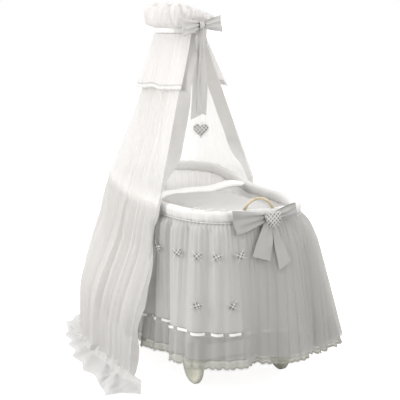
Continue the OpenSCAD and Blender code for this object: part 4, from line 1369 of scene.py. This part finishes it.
@dataclass
class Canopy:
    """The veil, its borders, valance, crown, neck band and the cloth that lies on the floor."""

    form: Form = FORM
    columns: int = 1300
    rows: int = 90
    edge: float = 0.047
    floor_gap: float = 0.010
    band_top: float = 0.0226
    low_side: float = -20.0
    top_limit: float = 1.4820

    def outward(self, u: np.ndarray, z: np.ndarray, grow: float = 0.0) -> np.ndarray:
        """The level direction square to the veil, away from its middle."""
        ahead = self.form.veil_at(u + 0.002, z, grow) - self.form.veil_at(u - 0.002, z, grow)
        out = np.stack([-ahead[..., 1], ahead[..., 0], 0 * ahead[..., 0]], -1)
        return out / np.maximum(np.linalg.norm(out, axis=-1, keepdims=True), 1e-9)

    def hang(self, u: np.ndarray, z: np.ndarray, grow: float = 0.0) -> np.ndarray:
        """The veil's folded surface.

        Args:
            u: places along it, one for each column.
            z: heights, one for each row.
            grow: offset outwards.

        Returns:
            A grid of points.
        """
        form = self.form
        base = form.veil_at(u, z, grow)
        out = self.outward(u, z, grow)
        rim = form.crest(form.even(form.rim_turn(u))[1])
        below = smooth((rim - z) / 0.55 + 0.10)
        above = np.clip((z - rim) / (form.neck_z - rim), 0, 1)
        calm = smooth((np.minimum(u, 1.0 - u) - 0.04) / 0.07)
        big = (0.013 * below + 0.002) * (1 - above) * folds(u, 15, 51, 0.25, 0.35)
        mid = (0.0065 * below + 0.0024) * (1 - 0.4 * above) * folds(u + 0.03 * (1 - above), 37, 53)
        fine = (0.0012 + 0.0016 * above) * folds(u, 96, 57, 0.3, 0.5)
        lift = 0.004 * below * (1 - above)
        foot = smooth((0.05 - z) / 0.05)
        move = (big + mid + fine) * (0.12 + 0.88 * calm) + lift + 0.012 * foot
        return base + out * move[..., None]

    def heights(self, low: float, high: float, count: int) -> np.ndarray:
        """A row of heights."""
        return np.linspace(low, high, count)[None, :]

    def veil(self) -> None:
        """The main cloth from the neck to the floor."""
        u = np.linspace(self.edge, 1 - self.edge, self.columns)[:, None]
        z = self.heights(self.floor_gap, self.form.neck_z - 0.002, self.rows)
        piece = grid("veil_cloth", self.hang(u, z), VEIL, (4.0, 1.36))
        flip_faces(piece)
        settle(piece, "canopy", "sheer_veil", "veil")

    def border(self, side: int) -> None:
        """One wide taffeta border along a front edge.

        Args:
            side: -1 for the left edge, 1 for the right.
        """
        form = self.form
        z = self.heights(self.floor_gap, form.neck_z - 0.002, 150)[0]
        at = self.edge if side < 0 else 1 - self.edge
        start = self.hang(np.array([[at]]), z[None, :])[0]
        further = form.veil_at(np.array([[at + side * 0.02]]), z[None, :])[0]
        near = form.veil_at(np.array([[at]]), z[None, :])[0]
        along = further - near
        along[:, 2] = 0
        along /= np.maximum(np.linalg.norm(along, axis=1, keepdims=True), 1e-9)
        turn = np.zeros_like(z)
        if side < 0:
            turn = -np.radians(30.0) * smooth((0.84 - z) / 0.12) * smooth((z - 0.30) / 0.20)
            turn = turn + np.radians(48.0) * smooth((z - 0.79) / 0.10) * (1 - smooth((z - 0.95) / 0.30))
        else:
            turn = -np.radians(62.0) * smooth((z - 0.76) / 0.12)
        turn = turn + 0.10 * np.sin(z * 21 + side)
        c, s = np.cos(turn), np.sin(turn)
        level = np.stack([along[:, 0] * c - along[:, 1] * s, along[:, 0] * s + along[:, 1] * c, 0 * z], 1)
        width = 0.026 + 0.030 * smooth((form.neck_z - z) / 0.16)
        share = np.linspace(0, 1, 14)[:, None]
        points = start[None] + level[None] * (width * share)[..., None]
        wave = 0.0035 * np.sin(z * 33 + 2.0 * share + side) * share
        wave = wave + 0.0012 * ripple(z * 40, share * 3, 1.0, 61)
        outward = np.stack([level[:, 1], -level[:, 0], 0 * z], 1) * (-side)
        points = points + outward[None] * wave[..., None]
        name = "border_left" if side < 0 else "border_right"
        # The left border takes the darker copy of the taffeta: painted shade.
        piece = grid(name, points, BAND_PAINTED_SHADE if side < 0 else BAND_PALE, (0.056, 1.36), flip=side > 0)
        settle(piece, "canopy", "taffeta", "veil_border_left" if side < 0 else "veil_border_right")
        runs = [points[1] + outward * 0.0012, points[-2] + outward * 0.0012]
        seam = grow_piece(polyline(name + "_stitches", runs), "stitches", THREAD, Pitch=0.006)
        settle(seam, "canopy", "satin")

    def valance(self) -> None:
        """The short gathered valance with its lace edge and picots."""
        form = self.form
        u = np.linspace(self.edge - 0.004, 1.004 - self.edge, 900)[:, None]
        low = form.neck_z - form.valance
        scallop = np.abs(np.sin(math.pi * 62 * u)) ** 0.6
        foot = low + 0.004 * (1 - scallop) + 0.004 * folds(u, 5, 71, 0.3, 0.3)
        step = np.linspace(0, 1, 22)[None, :]
        z = foot + 0.018 + (form.neck_z - 0.004 - foot - 0.018) * step
        points = self.short(u, z)
        piece = grid("valance_cloth", points, VEIL_FULL, (2.4, 0.21))
        flip_faces(piece)
        settle(piece, "canopy", "sheer_veil", "valance")
        z = foot + 0.020 * np.linspace(0, 1, 5)[None, :]
        strip = self.short(u, z)
        lace = grid("valance_lace_edge", strip, LACE_WHITE, (1.6, 0.020))
        flip_faces(lace)
        settle(lace, "canopy", "lace")
        picots = grow_piece(polyline("valance_picots", [strip[:, 0]]), "picots", LACE_WHITE,
                            Pitch=0.0062, Loop=0.0026, Thread=0.0006)
        settle(picots, "canopy", "lace")

    def short(self, u: np.ndarray, z: np.ndarray) -> np.ndarray:
        """The valance's surface, a little off the veil and further at its edge."""
        form = self.form
        down = (form.neck_z - z) / form.valance
        base = form.veil_at(u, z, 0.006 + 0.022 * down)
        out = self.outward(u, z)
        move = 0.0045 * down * folds(u, 13, 73, 0.3, 0.4) + 0.0008 * (0.4 + down) * folds(u, 41, 75)
        move = move + 0.0007 * (1 - 0.6 * down) * folds(u, 92, 77, 0.3, 0.5)
        return base + out * move[..., None]

    def round_neck(self, count: int) -> tuple[np.ndarray, np.ndarray]:
        """Places from 0 to 1 round the neck, one for each column, and their angles."""
        a = round_places(count)
        return a, np.radians(a * 360.0)

    def turned(self, r: np.ndarray, turn: np.ndarray, z: np.ndarray) -> np.ndarray:
        """Points round the middle of the canopy ring."""
        return np.stack([r * np.cos(turn), self.form.ring_y + r * np.sin(turn), z + 0 * r], -1)

    def droop(self, turn: np.ndarray) -> np.ndarray:
        """How far the crown droops: 1 on its low side, 0 opposite."""
        return (0.5 + 0.5 * np.cos(turn - math.radians(self.low_side))) ** 2.4

    def crown(self) -> None:
        """The ruffled puff that closes the top, pressed flat behind the bow."""
        form = self.form
        a, turn = self.round_neck(840)
        key = np.linspace(0, 1, 11)
        radius = np.array([0.109, 0.118, 0.128, 0.137, 0.141, 0.140, 0.131, 0.112, 0.083, 0.045, 0.004])
        height = np.array([0.000, 0.004, 0.010, 0.024, 0.044, 0.066, 0.086, 0.099, 0.104, 0.100, 0.092])
        s = np.linspace(0, 1, 44)[None, :]
        r = smooth_path(s, key, radius)
        h = smooth_path(s, key, height)
        body = np.sin(math.pi * np.clip(s, 0, 1)) ** 0.7
        deep = 0.0075 * body * folds(a + 0.05 * s, 15, 81, 0.5, 0.6)
        deep = deep + 0.0040 * body * folds(a - 0.04 * s, 43, 83, 0.4, 0.6)
        rise = 0.008 * body * folds(a + 0.04 * s, 9, 85, 0.5, 0.6) * smooth((s - 0.15) / 0.3)
        rise = rise + 0.006 * body * ripple(np.cos(turn) * s * 8, np.sin(turn) * s * 8, 1.0, 87)
        bow = np.exp(-((np.mod(a * 360.0 - (form.opening - 90.0) + 180.0, 360.0) - 180.0) / 32.0) ** 2)
        press = 0.034 * bow * smooth((0.060 - h) / 0.03) * smooth(s / 0.15)
        r = r + deep - press
        lean = smooth((h - 0.02) / 0.06) * self.droop(turn)
        z = form.neck_z + self.band_top + (h + rise) * (1 - 0.42 * lean) - 0.006 * (1 - s) * body
        r = r * (1 + 0.01 * np.cos(turn - math.radians(154.0)) * body)
        piece = grid("crown_puff", self.turned(r, turn, z), VEIL_FULL, (1.9, 0.26), True, cap=True)
        settle(piece, "canopy", "sheer_veil", "crown_ruffle")
        self.frill()

    def frill(self) -> None:
        """A standing frill on the puff, with a lace edge."""
        a, turn = self.round_neck(900)
        s = np.linspace(0, 1, 12)[None, :]
        wave = folds(a, 21, 91, 0.35, 0.4)
        small = folds(a, 63, 93, 0.3, 0.4)
        r = 0.056 + 0.056 * s + (0.010 * wave + 0.004 * small) * s
        z = self.form.neck_z + self.band_top + 0.090 + 0.020 * smooth(s * 1.4)
        z = z - 0.016 * s ** 3 + 0.006 * s * folds(a, 34, 95)
        z = np.minimum(z - 0.046 * self.droop(turn), self.top_limit)
        points = self.turned(r, turn, z)
        piece = grid("crown_frill", points, VEIL_FULL, (1.6, 0.06), True, flip=True)
        settle(piece, "canopy", "sheer_veil")
        picots = grow_piece(polyline("frill_picots", [points[:, -1]], True), "picots", LACE_WHITE,
                            Pitch=0.0062, Loop=0.0022, Thread=0.0006)
        settle(picots, "canopy", "lace")

    def neck(self) -> None:
        """The satin band round the neck."""
        a, turn = self.round_neck(360)
        s = np.linspace(0, 1, 9)[None, :]
        r = 0.1085 + 0.0022 * np.sin(math.pi * s) + 0.0008 * folds(a, 40, 97) * np.sin(math.pi * s)
        z = self.form.neck_z + 0.022 * s + 0.0006 * folds(a, 23, 99)
        piece = grid("neck_satin", self.turned(r, turn, z), SATIN, (0.70, 0.022), True)
        thicken(piece, 0.0012)
        settle(piece, "canopy", "satin", "neck_band")

    def train(self) -> None:
        """The long hem of the veil, spread in folds over the floor at the left."""
        w = np.linspace(0, 1, 520)[:, None]
        r = np.linspace(0, 1, 40)[None, :]
        inner = self.hang(0.004 + 0.50 * w, np.array([[0.034]]))[:, :1]
        rim = np.array([(-0.443, -0.398), (-0.500, -0.345), (-0.570, -0.345), (-0.535, -0.160),
                        (-0.538, -0.010), (-0.525, 0.140), (-0.492, 0.280), (-0.460, 0.440),
                        (-0.390, 0.640), (-0.330, 0.716), (-0.236, 0.770)])
        steps = np.concatenate([[0], np.cumsum(np.linalg.norm(np.diff(rim, axis=0), axis=1))])
        at = steps[-1] * np.linspace(0, 1, 520)
        outer = np.stack([np.interp(at, steps, rim[:, 0]), np.interp(at, steps, rim[:, 1])], 1)
        away = outer - inner[:, 0, :2]
        away /= np.linalg.norm(away, axis=1, keepdims=True)
        outer = outer - away * (0.010 + 0.010 * folds(w, 8, 103, 0.4, 0.3))
        inner_flat, outer_flat = inner[:, :, :2], outer[:, None, :]
        plan = inner_flat * (1 - r[..., None]) + outer_flat * r[..., None]
        drop = 0.026 * (1 - smooth(r / 0.22))
        ridge = 0.5 + 0.5 * folds(w + 0.08 * r, 7, 107, 0.4, 0.5)
        fine = 0.5 + 0.5 * folds(w - 0.05 * r, 25, 109, 0.4, 0.5)
        lump = 0.5 + 0.4 * ripple(plan[..., 0], plan[..., 1], 14.0, 111)
        swell = smooth(r / 0.15) * (1 - 0.45 * smooth((r - 0.75) / 0.25))
        z = 0.004 + drop + swell * (0.010 * np.clip(ridge, 0, 1.3) + 0.002 * np.clip(fine, 0, 1.3)
                                    + 0.004 * np.clip(lump, 0, 1.5))
        points = np.concatenate([plan, z[..., None]], -1)
        # The train on the floor takes the darker copy of the veil cloth: painted shade.
        piece = grid("veil_spread", points, VEIL_FLOOR_PAINTED_SHADE, (1.9, 0.30))
        flip_faces(piece)
        settle(piece, "canopy", "sheer_veil", "veil_train")

    def build(self) -> None:
        """Makes every piece of the canopy."""
        self.veil()
        self.border(-1)
        self.border(1)
        self.valance()
        self.neck()
        self.crown()
        self.train()


def smooth_path(s: np.ndarray, key: np.ndarray, value: np.ndarray) -> np.ndarray:
    """A smooth curve through values at given places."""
    slope = np.gradient(value, key)
    index = np.clip(np.searchsorted(key, s, side="right") - 1, 0, len(key) - 2)
    x0, x1 = key[index], key[index + 1]
    t = (s - x0) / (x1 - x0)
    h = x1 - x0
    return ((2 * t ** 3 - 3 * t ** 2 + 1) * value[index] + (t ** 3 - 2 * t ** 2 + t) * h * slope[index]
            + (3 * t ** 2 - 2 * t ** 3) * value[index + 1] + (t ** 3 - t ** 2) * h * slope[index + 1])


def flip_faces(piece: bpy.types.Object) -> None:
    """Turns a cloth's faces over, where its columns run clockwise."""
    piece.data.flip_normals()


# -------------------- bows

@dataclass
class Place:
    """A place in space with its own right, up and forward directions."""

    at: tuple[float, float, float]
    turn: float = 0.0

    def put(self, across: np.ndarray, forward: np.ndarray, up: np.ndarray) -> np.ndarray:
        """Points from distances across, forward (towards the viewer) and up."""
        c, s = math.cos(math.radians(self.turn)), math.sin(math.radians(self.turn))
        across, forward, up = np.broadcast_arrays(across, forward, up)
        return np.stack([self.at[0] + across * c + forward * s,
                         self.at[1] + across * s - forward * c, self.at[2] + up], -1)


@dataclass
class Bows:
    """The taffeta bows with their tails and the checked hearts they carry."""

    form: Form = FORM
    top: Place = field(default_factory=lambda: Place((0.0340, 0.0580, 1.384), 12.0))
    foot: Place = field(default_factory=lambda: Place((0.028, -0.546, 0.684), 0.0))

    def loop(self, name: str, place: Place, side: int, length: float, high: float, low: float,
             depth: float, seed: int, finish: Finish) -> bpy.types.Object:
        """One loop of a bow: a ribbon that goes out from the knot, turns and comes back.

        Args:
            name: its name.
            place: where the knot is.
            side: -1 for the left loop, 1 for the right.
            length: from the knot to the tip.
            high: height of the tip's upper corner over the knot.
            low: height of the tip's lower corner.
            depth: half of how far the loop opens.
            seed: seed of its wrinkles.
            finish: its finish.

        Returns:
            The new object.
        """
        s = np.linspace(0.02, 0.98, 60)[:, None]
        w = np.linspace(0, 1, 26)[None, :]
        x = np.sin(math.pi * s) ** 0.72
        lean = (1 - 0.13 * (1 - w)) if abs(low) > high else (1 - 0.10 * w)
        out = length * x * lean
        pinch = 0.020
        upper = pinch / 2 + (high - pinch / 2) * x ** 0.8
        lower = -pinch / 2 + (low + pinch / 2) * x ** 0.9
        up = lower + (upper - lower) * w
        belly = np.sin(math.pi * s) ** 0.45
        forward = depth * np.cos(math.pi * s) * belly * (0.65 + 0.35 * np.sin(math.pi * w))
        near = np.clip(1 - x, 0, 1)
        forward = forward + 0.0045 * near ** 0.5 * np.sin(TAU * 2.5 * w + seed)
        forward = forward + 0.0030 * ripple(out * 1.0, up, 60.0, seed)
        up = up + 0.0035 * np.sin(math.pi * w) * np.sin(x * 5 + seed)
        points = place.put(side * (0.006 + out), forward, up)
        piece = grid(name, points, finish, (2.1 * length, high - low), flip=side > 0)
        thicken(piece, 0.0012)
        return piece

    def knot(self, name: str, place: Place, wide: float, high: float, deep: float) -> bpy.types.Object:
        """The wrapped knot of a bow."""
        a = round_places(48) * TAU
        s = np.linspace(-1, 1, 21)[None, :]
        swell = np.sqrt(np.clip(1 - (s * 0.92) ** 2 * 0.55, 0, 1))
        pleat = 1 + 0.06 * np.sin(s * 11 + 1)
        across = wide * s * (1 + 0.10 * np.cos(a))
        forward = deep * swell * pleat * np.cos(a)
        up = high * swell * pleat * np.sin(a)
        piece = grid(name, place.put(across, forward, up), TAFFETA, (0.08, 2 * wide), True)
        weld(piece)
        return piece

    def tail(self, name: str, start: np.ndarray, end: np.ndarray, widths: tuple[float, float],
             face: np.ndarray, slant: float, wave: float, seed: int,
             finish: Finish = TAFFETA) -> bpy.types.Object:
        """One hanging tail, with a slanted end.

        Args:
            name: its name.
            start: middle of its upper end.
            end: middle of its lower end.
            widths: its width at the two ends.
            face: the level direction across it.
            slant: how much lower its right corner hangs.
            wave: depth of its curl.
            seed: seed of its wrinkles.
            finish: its finish.

        Returns:
            The new object.
        """
        s = np.linspace(0, 1, 70)[None, :]
        w = np.linspace(-0.5, 0.5, 18)[:, None]
        front = np.array([face[1], -face[0], 0.0])
        line = start + (end - start) * s[..., None]
        width = widths[0] + (widths[1] - widths[0]) * smooth(s * 1.3)
        curl = wave * np.sin(s * 7.0 + seed) * s ** 0.5 * (0.3 + w) + 0.0022 * ripple(s * 6, w * 5, 1.0, seed)
        curl = curl + 0.004 * (1 - s) * np.cos(w * TAU * 1.5)
        points = line + w[..., None] * width[..., None] * face + curl[..., None] * front
        points[..., 2] -= slant * w * smooth((s - 0.72) / 0.28)
        return grid(name, points, finish, (widths[1], float(np.linalg.norm(end - start))), flip=True)

    def heart(self, name: str, place: Place, size: float, puff: float, body: str, node: str) -> None:
        """A padded checked heart with a picot edge."""
        edge = heart_outline(size, 72)
        shares = np.array([0.0, 0.35, 0.65, 0.85, 0.96, 1.0])
        rounds = np.concatenate([shares, shares[-2::-1]])
        sides = np.concatenate([-np.ones(6), np.ones(5)])
        thick = puff * (1 - rounds ** 3) ** 0.5 * sides
        across = edge[:, :1] * rounds[None, :]
        up = edge[:, 1:2] * rounds[None, :]
        dimple = 0.0009 * ripple(across, up, 170.0, 5) * (1 - rounds[None, :] ** 2)
        points = place.put(across, thick[None, :] + dimple * sides[None, :], up)
        piece = grid(name, points, CHECK, (1.0, 1.0), True)
        set_weave(piece.data, np.stack([across, up], -1).reshape(-1, 2)[face_corners(piece.data)])
        weld(piece)
        settle(piece, body, "check_cotton", node)
        cords = []
        gap = 0.19 * size
        slanted = 0.72
        for slope in (-1.0, 1.0):
            for step in (-1.5, -0.5, 0.5, 1.5):
                along = np.linspace(-1, 1, 9) * size * (0.62 - 0.11 * abs(step))
                cords.append(place.put((along + slope * step * gap) * slanted, np.full(9, puff * 1.02),
                                       (slope * along - step * gap) * slanted))
        lattice = grow_piece(polyline(name + "_cords", cords), "strands", THREAD, Radius=0.0013)
        settle(lattice, body, "satin")
        ring = place.put(edge[:, 0] * 1.03, np.zeros(len(edge)), edge[:, 1] * 1.03)
        picots = grow_piece(polyline(name + "_picots", [ring], True), "picots", LACE_WHITE,
                            Pitch=0.0045, Loop=0.0020, Thread=0.0008)
        settle(picots, body, "lace")

    def tie(self, which: str, at: Place, body: str, loops: Sequence[tuple[float, ...]],
            knot: tuple[float, float, float], finish: Finish) -> None:
        """The two loops of a bow and its knot.

        Args:
            which: "top" or "foot".
            at: where the knot is.
            body: what the bow rides on.
            loops: for each loop its length, the heights of its two corners, its depth, its seed and
                the width and length that its ribbon was cut to.
            knot: half the knot's width, height and depth.
            finish: the loops' finish.
        """
        for side, (length, high, low, depth, seed, cut, wide) in zip((-1, 1), loops):
            name = f"{which}_loop_{'left' if side < 0 else 'right'}"
            piece = self.loop(name, at, side, length, high, low, depth, int(seed), finish)
            settle(piece, body, "taffeta", which + "_bow")
        middle = self.knot(which + "_knot", at, *knot)
        settle(middle, body, "taffeta", which + "_bow")

    def top_bow(self) -> None:
        """The bow at the neck of the veil, its two long tails and the hanging heart."""
        self.tie("top", self.top, "canopy",
                 ((0.098, 0.032, -0.044, 0.014, 1, 0.19, 0.062),
                  (0.104, 0.040, -0.028, 0.016, 4, 0.19, 0.058)),
                 (0.012, 0.017, 0.014), TAFFETA)
        face = np.array([math.cos(math.radians(-8)), math.sin(math.radians(-8)), 0.0])
        start = np.array([0.0420, 0.0620, 1.372])
        tails = ((start + 0.004 * face, start + np.array([-0.002, 0.004, -0.356]), (0.030, 0.044), 0.016, 3),
                 (start - 0.002 * face + np.array([0, 0.006, 0]),
                  start + np.array([-0.026, 0.010, -0.370]), (0.028, 0.046), -0.020, 6))
        for k, (first, last, widths, slant, seed) in enumerate(tails):
            tail = self.tail(f"top_tail_{k + 1}", first, last, widths, face, slant, 0.006, seed)
            settle(tail, "canopy", "taffeta", "top_bow_tails")
        hang = Place((0.0360, 0.064, 0.950), -10.0)
        self.heart("heart_drop", hang, 0.064, 0.009, "canopy", "heart_pendant")
        line = np.array([[0.0380, 0.0700, 1.36], [0.0375, 0.0690, 1.20], [0.0368, 0.0660, 1.05],
                         [0.0360, 0.064, 0.972]])
        cord = grow_piece(polyline("heart_string", [line]), "strands", THREAD, Radius=0.0008)
        settle(cord, "canopy", "satin")

    def foot_bow(self) -> None:
        """The large bow at the foot of the rim, with its tails and heart."""
        # The foot bow, its tails and its loops use the darker copy of the taffeta: painted shade.
        self.tie("foot", self.foot, "basket",
                 ((0.158, 0.036, -0.060, 0.016, 7, 0.34, 0.080),
                  (0.112, 0.046, -0.012, 0.014, 9, 0.25, 0.055)),
                 (0.014, 0.017, 0.012), TAFFETA_FOOT_PAINTED_SHADE)
        face = np.array([1.0, 0.0, 0.0])
        tails = (((0.016, -0.551, 0.672), (-0.038, -0.598, 0.540), (0.034, 0.078), 0.024, 12),
                 ((0.036, -0.549, 0.672), (0.060, -0.603, 0.505), (0.026, 0.048), -0.030, 15))
        for k, (high, low, widths, slant, seed) in enumerate(tails):
            first, last = np.array(high), np.array(low)
            name = f"foot_tail_{k + 1}"
            tail = self.tail(name, first, last, widths, face, slant, 0.005, seed, TAFFETA_FOOT_PAINTED_SHADE)
            settle(tail, "basket", "taffeta", "foot_bow")
        place = Place((0.028, -0.5635, 0.682), 0.0)
        self.heart("heart_foot", place, 0.060, 0.008, "basket", "foot_bow_heart")

    def build(self) -> None:
        """Makes both bows."""
        self.top_bow()
        self.foot_bow()


# -------------------- basketwork and stand

@dataclass
class Wicker:
    """The woven wall: upright stakes with weavers that pass in front and behind in turn."""

    form: Form = FORM
    stakes: int = 64
    weavers: int = 40
    rod: float = 0.0024
    sway: float = 0.0030

    def build(self) -> None:
        """Weaves the wall from weavers, stakes and two twisted borders, each its own mesh, and winds the
        handle binding.
        """
        form = self.form
        runs, sways = [], []
        u = np.arange(self.stakes * 4) / (self.stakes * 4)
        for row in range(self.weavers):
            share = (row + 0.5) / self.weavers
            line = form.wall_at(u * 360.0, share, -form.wall / 2)
            out = lay_out(line[:, None], True)[:, 0]
            runs.append(line)
            sways.append(out * (np.cos(math.pi * (self.stakes * u + row)) * self.sway)[:, None])
        weave = grow_piece(polyline("wicker_weavers", runs, True, sways), "strands", WICKER,
                           Radius=self.rod, Sides=6.0)
        settle(weave, "basket", "wicker", "basket_wall")
        uprights = []
        for k in range(self.stakes):
            turn = np.full(14, 360.0 * k / self.stakes)
            uprights.append(form.wall_at(turn, np.linspace(0.0, 1.0, 14), -form.wall / 2))
        stakes = grow_piece(polyline("wicker_stakes", uprights), "strands", WICKER, Radius=0.0021)
        settle(stakes, "basket", "wicker", "basket_wall")
        ropes, twist = [], []
        for share, strand in ((0.008, 0), (0.008, 1), (0.990, 0), (0.990, 1)):
            v = np.arange(720) / 720
            line = form.wall_at(v * 360.0, share, -form.wall / 2)
            out = lay_out(line[:, None], True)[:, 0]
            angle = TAU * 96 * v + math.pi * strand
            ropes.append(line)
            twist.append(out * (0.0028 * np.cos(angle))[:, None]
                         + np.array([0, 0, 1.0]) * (0.0028 * np.sin(angle))[:, None])
        border = grow_piece(polyline("wicker_ropes", ropes, True, twist), "strands", WICKER, Radius=0.0026)
        settle(border, "basket", "wicker")
        self.binding()

    def binding(self) -> None:
        """Fine cane wound round the two feet of the handle hoop."""
        runs = []
        for side in (-1.0, 1.0):
            a = np.linspace(0, TAU * 9, 220)
            radius = 0.0067
            z = 0.706 + a / (TAU * 9) * 0.018
            # the hoop curves inwards a little over this height
            middle = side * np.sqrt(np.maximum(0.065 ** 2 - (z - 0.684) ** 2, 0))
            runs.append(np.stack([middle + radius * np.cos(a), -0.500 + radius * np.sin(a), z], 1))
        wound = grow_piece(polyline("handle_binding", runs), "strands", HOOP_CANE, Radius=0.0010)
        settle(wound, "basket", "wicker")


@dataclass
class Fittings:
    """Finishes of the turned, sawn, plated and moulded pieces that keep their own shape."""

    finishes: tuple[tuple[Finish, tuple[str, ...]], ...] = (
        (IVORY_UP, ("leg_front_left", "leg_front_right", "leg_rear_left", "leg_rear_right")),
        (IVORY_ALONG, ("side_rail_left", "side_rail_right")),
        (IVORY_ACROSS, ("end_rail_foot", "end_rail_head", "stretcher_foot", "stretcher_head")),
        (BEECH, ("locating_pegs", "basket_base", "basket_bearers")),
        (ZINC, ("stand_bolts", "axle_front", "axle_rear", "brake_brackets", "brake_pins",
                "basket_screws", "pole_bracket", "pole_socket", "clamp_screw")),
        (ENAMEL, ("canopy_pole", "canopy_ring")),
        (CREAM, ("wheel_front_left", "wheel_front_right", "wheel_rear_left", "wheel_rear_right",
                 "axle_caps", "brake_lever_left", "brake_lever_right")),
        (TYRE, ("tyre_front_left", "tyre_front_right", "tyre_rear_left", "tyre_rear_right")),
        (HOOP_CANE, ("handle_foot",)),
    )

    def build(self) -> None:
        """Gives each piece its finish."""
        for finish, nodes in self.finishes:
            for node in nodes:
                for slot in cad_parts[node].material_slots:
                    slot.material = finish.build()
                LOG.info("%s: dressed in %s", node, finish.name)


# -------------------- studio

@dataclass
class Lamp:
    """A soft area light."""

    name: str
    at: tuple[float, float, float]
    size: float
    power: float
    aim: tuple[float, float, float] = (0.0, 0.0, 0.6)
    spread: float = 180.0

    def build(self) -> None:
        """Hangs the light and turns it to its aim."""
        light = bpy.data.lights.new(self.name, "AREA")
        light.shape = "SQUARE"
        light.size = self.size
        light.energy = self.power
        light.spread = math.radians(self.spread)
        lamp = bpy.data.objects.new(self.name, light)
        lamp.location = self.at
        way = Vector(self.aim) - Vector(self.at)
        lamp.rotation_euler = way.to_track_quat("-Z", "Y").to_euler()
        bpy.context.scene.collection.objects.link(lamp)


@dataclass
class Studio:
    """Camera, lights, floor and the white room."""

    camera_at: tuple[float, float, float] = (-1.886, -3.867, 1.438)
    target: tuple[float, float, float] = (0.0, 0.0, 0.679)
    lens: float = 93.8
    drop: float = -0.0103
    room: float = 1.04
    lamps: tuple[Lamp, ...] = (
        Lamp("key", (-4.2, 1.3, 3.0), 1.8, 105.0),
        Lamp("top", (0.2, 0.6, 4.2), 2.2, 22.0, (0.0, 0.0, 0.3)),
        Lamp("rim", (3.6, 2.4, 2.2), 2.0, 30.0),
        Lamp("front", (0.3, -4.4, 1.9), 1.2, 1.5, (0.04, 0.15, 1.08), 24.0))

    def build(self) -> None:
        """Sets up everything that isn't the object."""
        scene = bpy.context.scene
        lens = bpy.data.cameras.new("camera")
        lens.lens, lens.sensor_width, lens.shift_y = self.lens, 36.0, self.drop
        camera = bpy.data.objects.new("camera", lens)
        camera.location = self.camera_at
        way = Vector(self.target) - Vector(self.camera_at)
        camera.rotation_euler = way.to_track_quat("-Z", "Y").to_euler()
        scene.collection.objects.link(camera)
        scene.camera = camera
        scene.view_settings.view_transform = "Standard"
        for lamp in self.lamps:
            lamp.build()
        self.light_room()
        self.lay_floor()

    def light_room(self) -> None:
        """A white room that lights the object softly."""
        world = bpy.data.worlds.new("room")
        bpy.context.scene.world = world
        world.use_nodes = True
        tree = world.node_tree
        tree.nodes.clear()
        seen = tree.nodes.new("ShaderNodeBackground")
        seen.inputs[1].default_value = 1.0
        felt = tree.nodes.new("ShaderNodeBackground")
        felt.inputs[1].default_value = self.room
        for shade in (seen, felt):
            shade.inputs[0].default_value = (1.0, 1.0, 1.0, 1.0)
        path = tree.nodes.new("ShaderNodeLightPath")
        mix = tree.nodes.new("ShaderNodeMixShader")
        output = tree.nodes.new("ShaderNodeOutputWorld")
        tree.links.new(path.outputs["Is Camera Ray"], mix.inputs[0])
        tree.links.new(felt.outputs[0], mix.inputs[1])
        tree.links.new(seen.outputs[0], mix.inputs[2])
        tree.links.new(mix.outputs[0], output.inputs[0])

    def lay_floor(self) -> None:
        """A wide pale floor."""
        bpy.ops.mesh.primitive_plane_add(size=600.0, location=(0, 0, -0.0008))
        floor = bpy.context.object
        floor.name = "floor"
        kit = Kit("studio_floor")
        cloud = kit.noise(kit.object_point(), 1.5, 2.0)
        kit.set(Base_Color=kit.blend(cloud, (0.50, 0.50, 0.50), (0.54, 0.54, 0.54)), Roughness=0.9,
                Specular_IOR_Level=0.1)
        bright = kit.node("Emission", None, {0: (1.0, 1.0, 1.0), 1: 0.86})
        both = kit.tree.nodes.new("ShaderNodeAddShader")
        kit.tree.links.new(kit.shader.outputs[0], both.inputs[0])
        kit.tree.links.new(bright.outputs[0], both.inputs[1])
        path = kit.node("LightPath")
        mix = kit.node("MixShader", None, {0: kit.out(path, "Is Camera Ray")})
        kit.tree.links.new(kit.shader.outputs[0], mix.inputs[1])
        kit.tree.links.new(both.outputs[0], mix.inputs[2])
        output = next(n for n in kit.tree.nodes if n.bl_idname == "ShaderNodeOutputMaterial")
        kit.tree.links.new(mix.outputs[0], output.inputs[0])
        floor.data.materials.append(kit.material)


def main() -> None:
    """Builds the studio and every sub-assembly in turn."""
    logging.basicConfig(level=logging.INFO, format="%(name)s: %(message)s")
    for part in (Studio(), Fittings(), Wicker(), Padding(), Bedding(), Skirt(), Motifs(), Canopy(), Bows()):
        LOG.info("building %s", type(part).__name__)
        part.build()


if __name__ == "__main__":
    main()
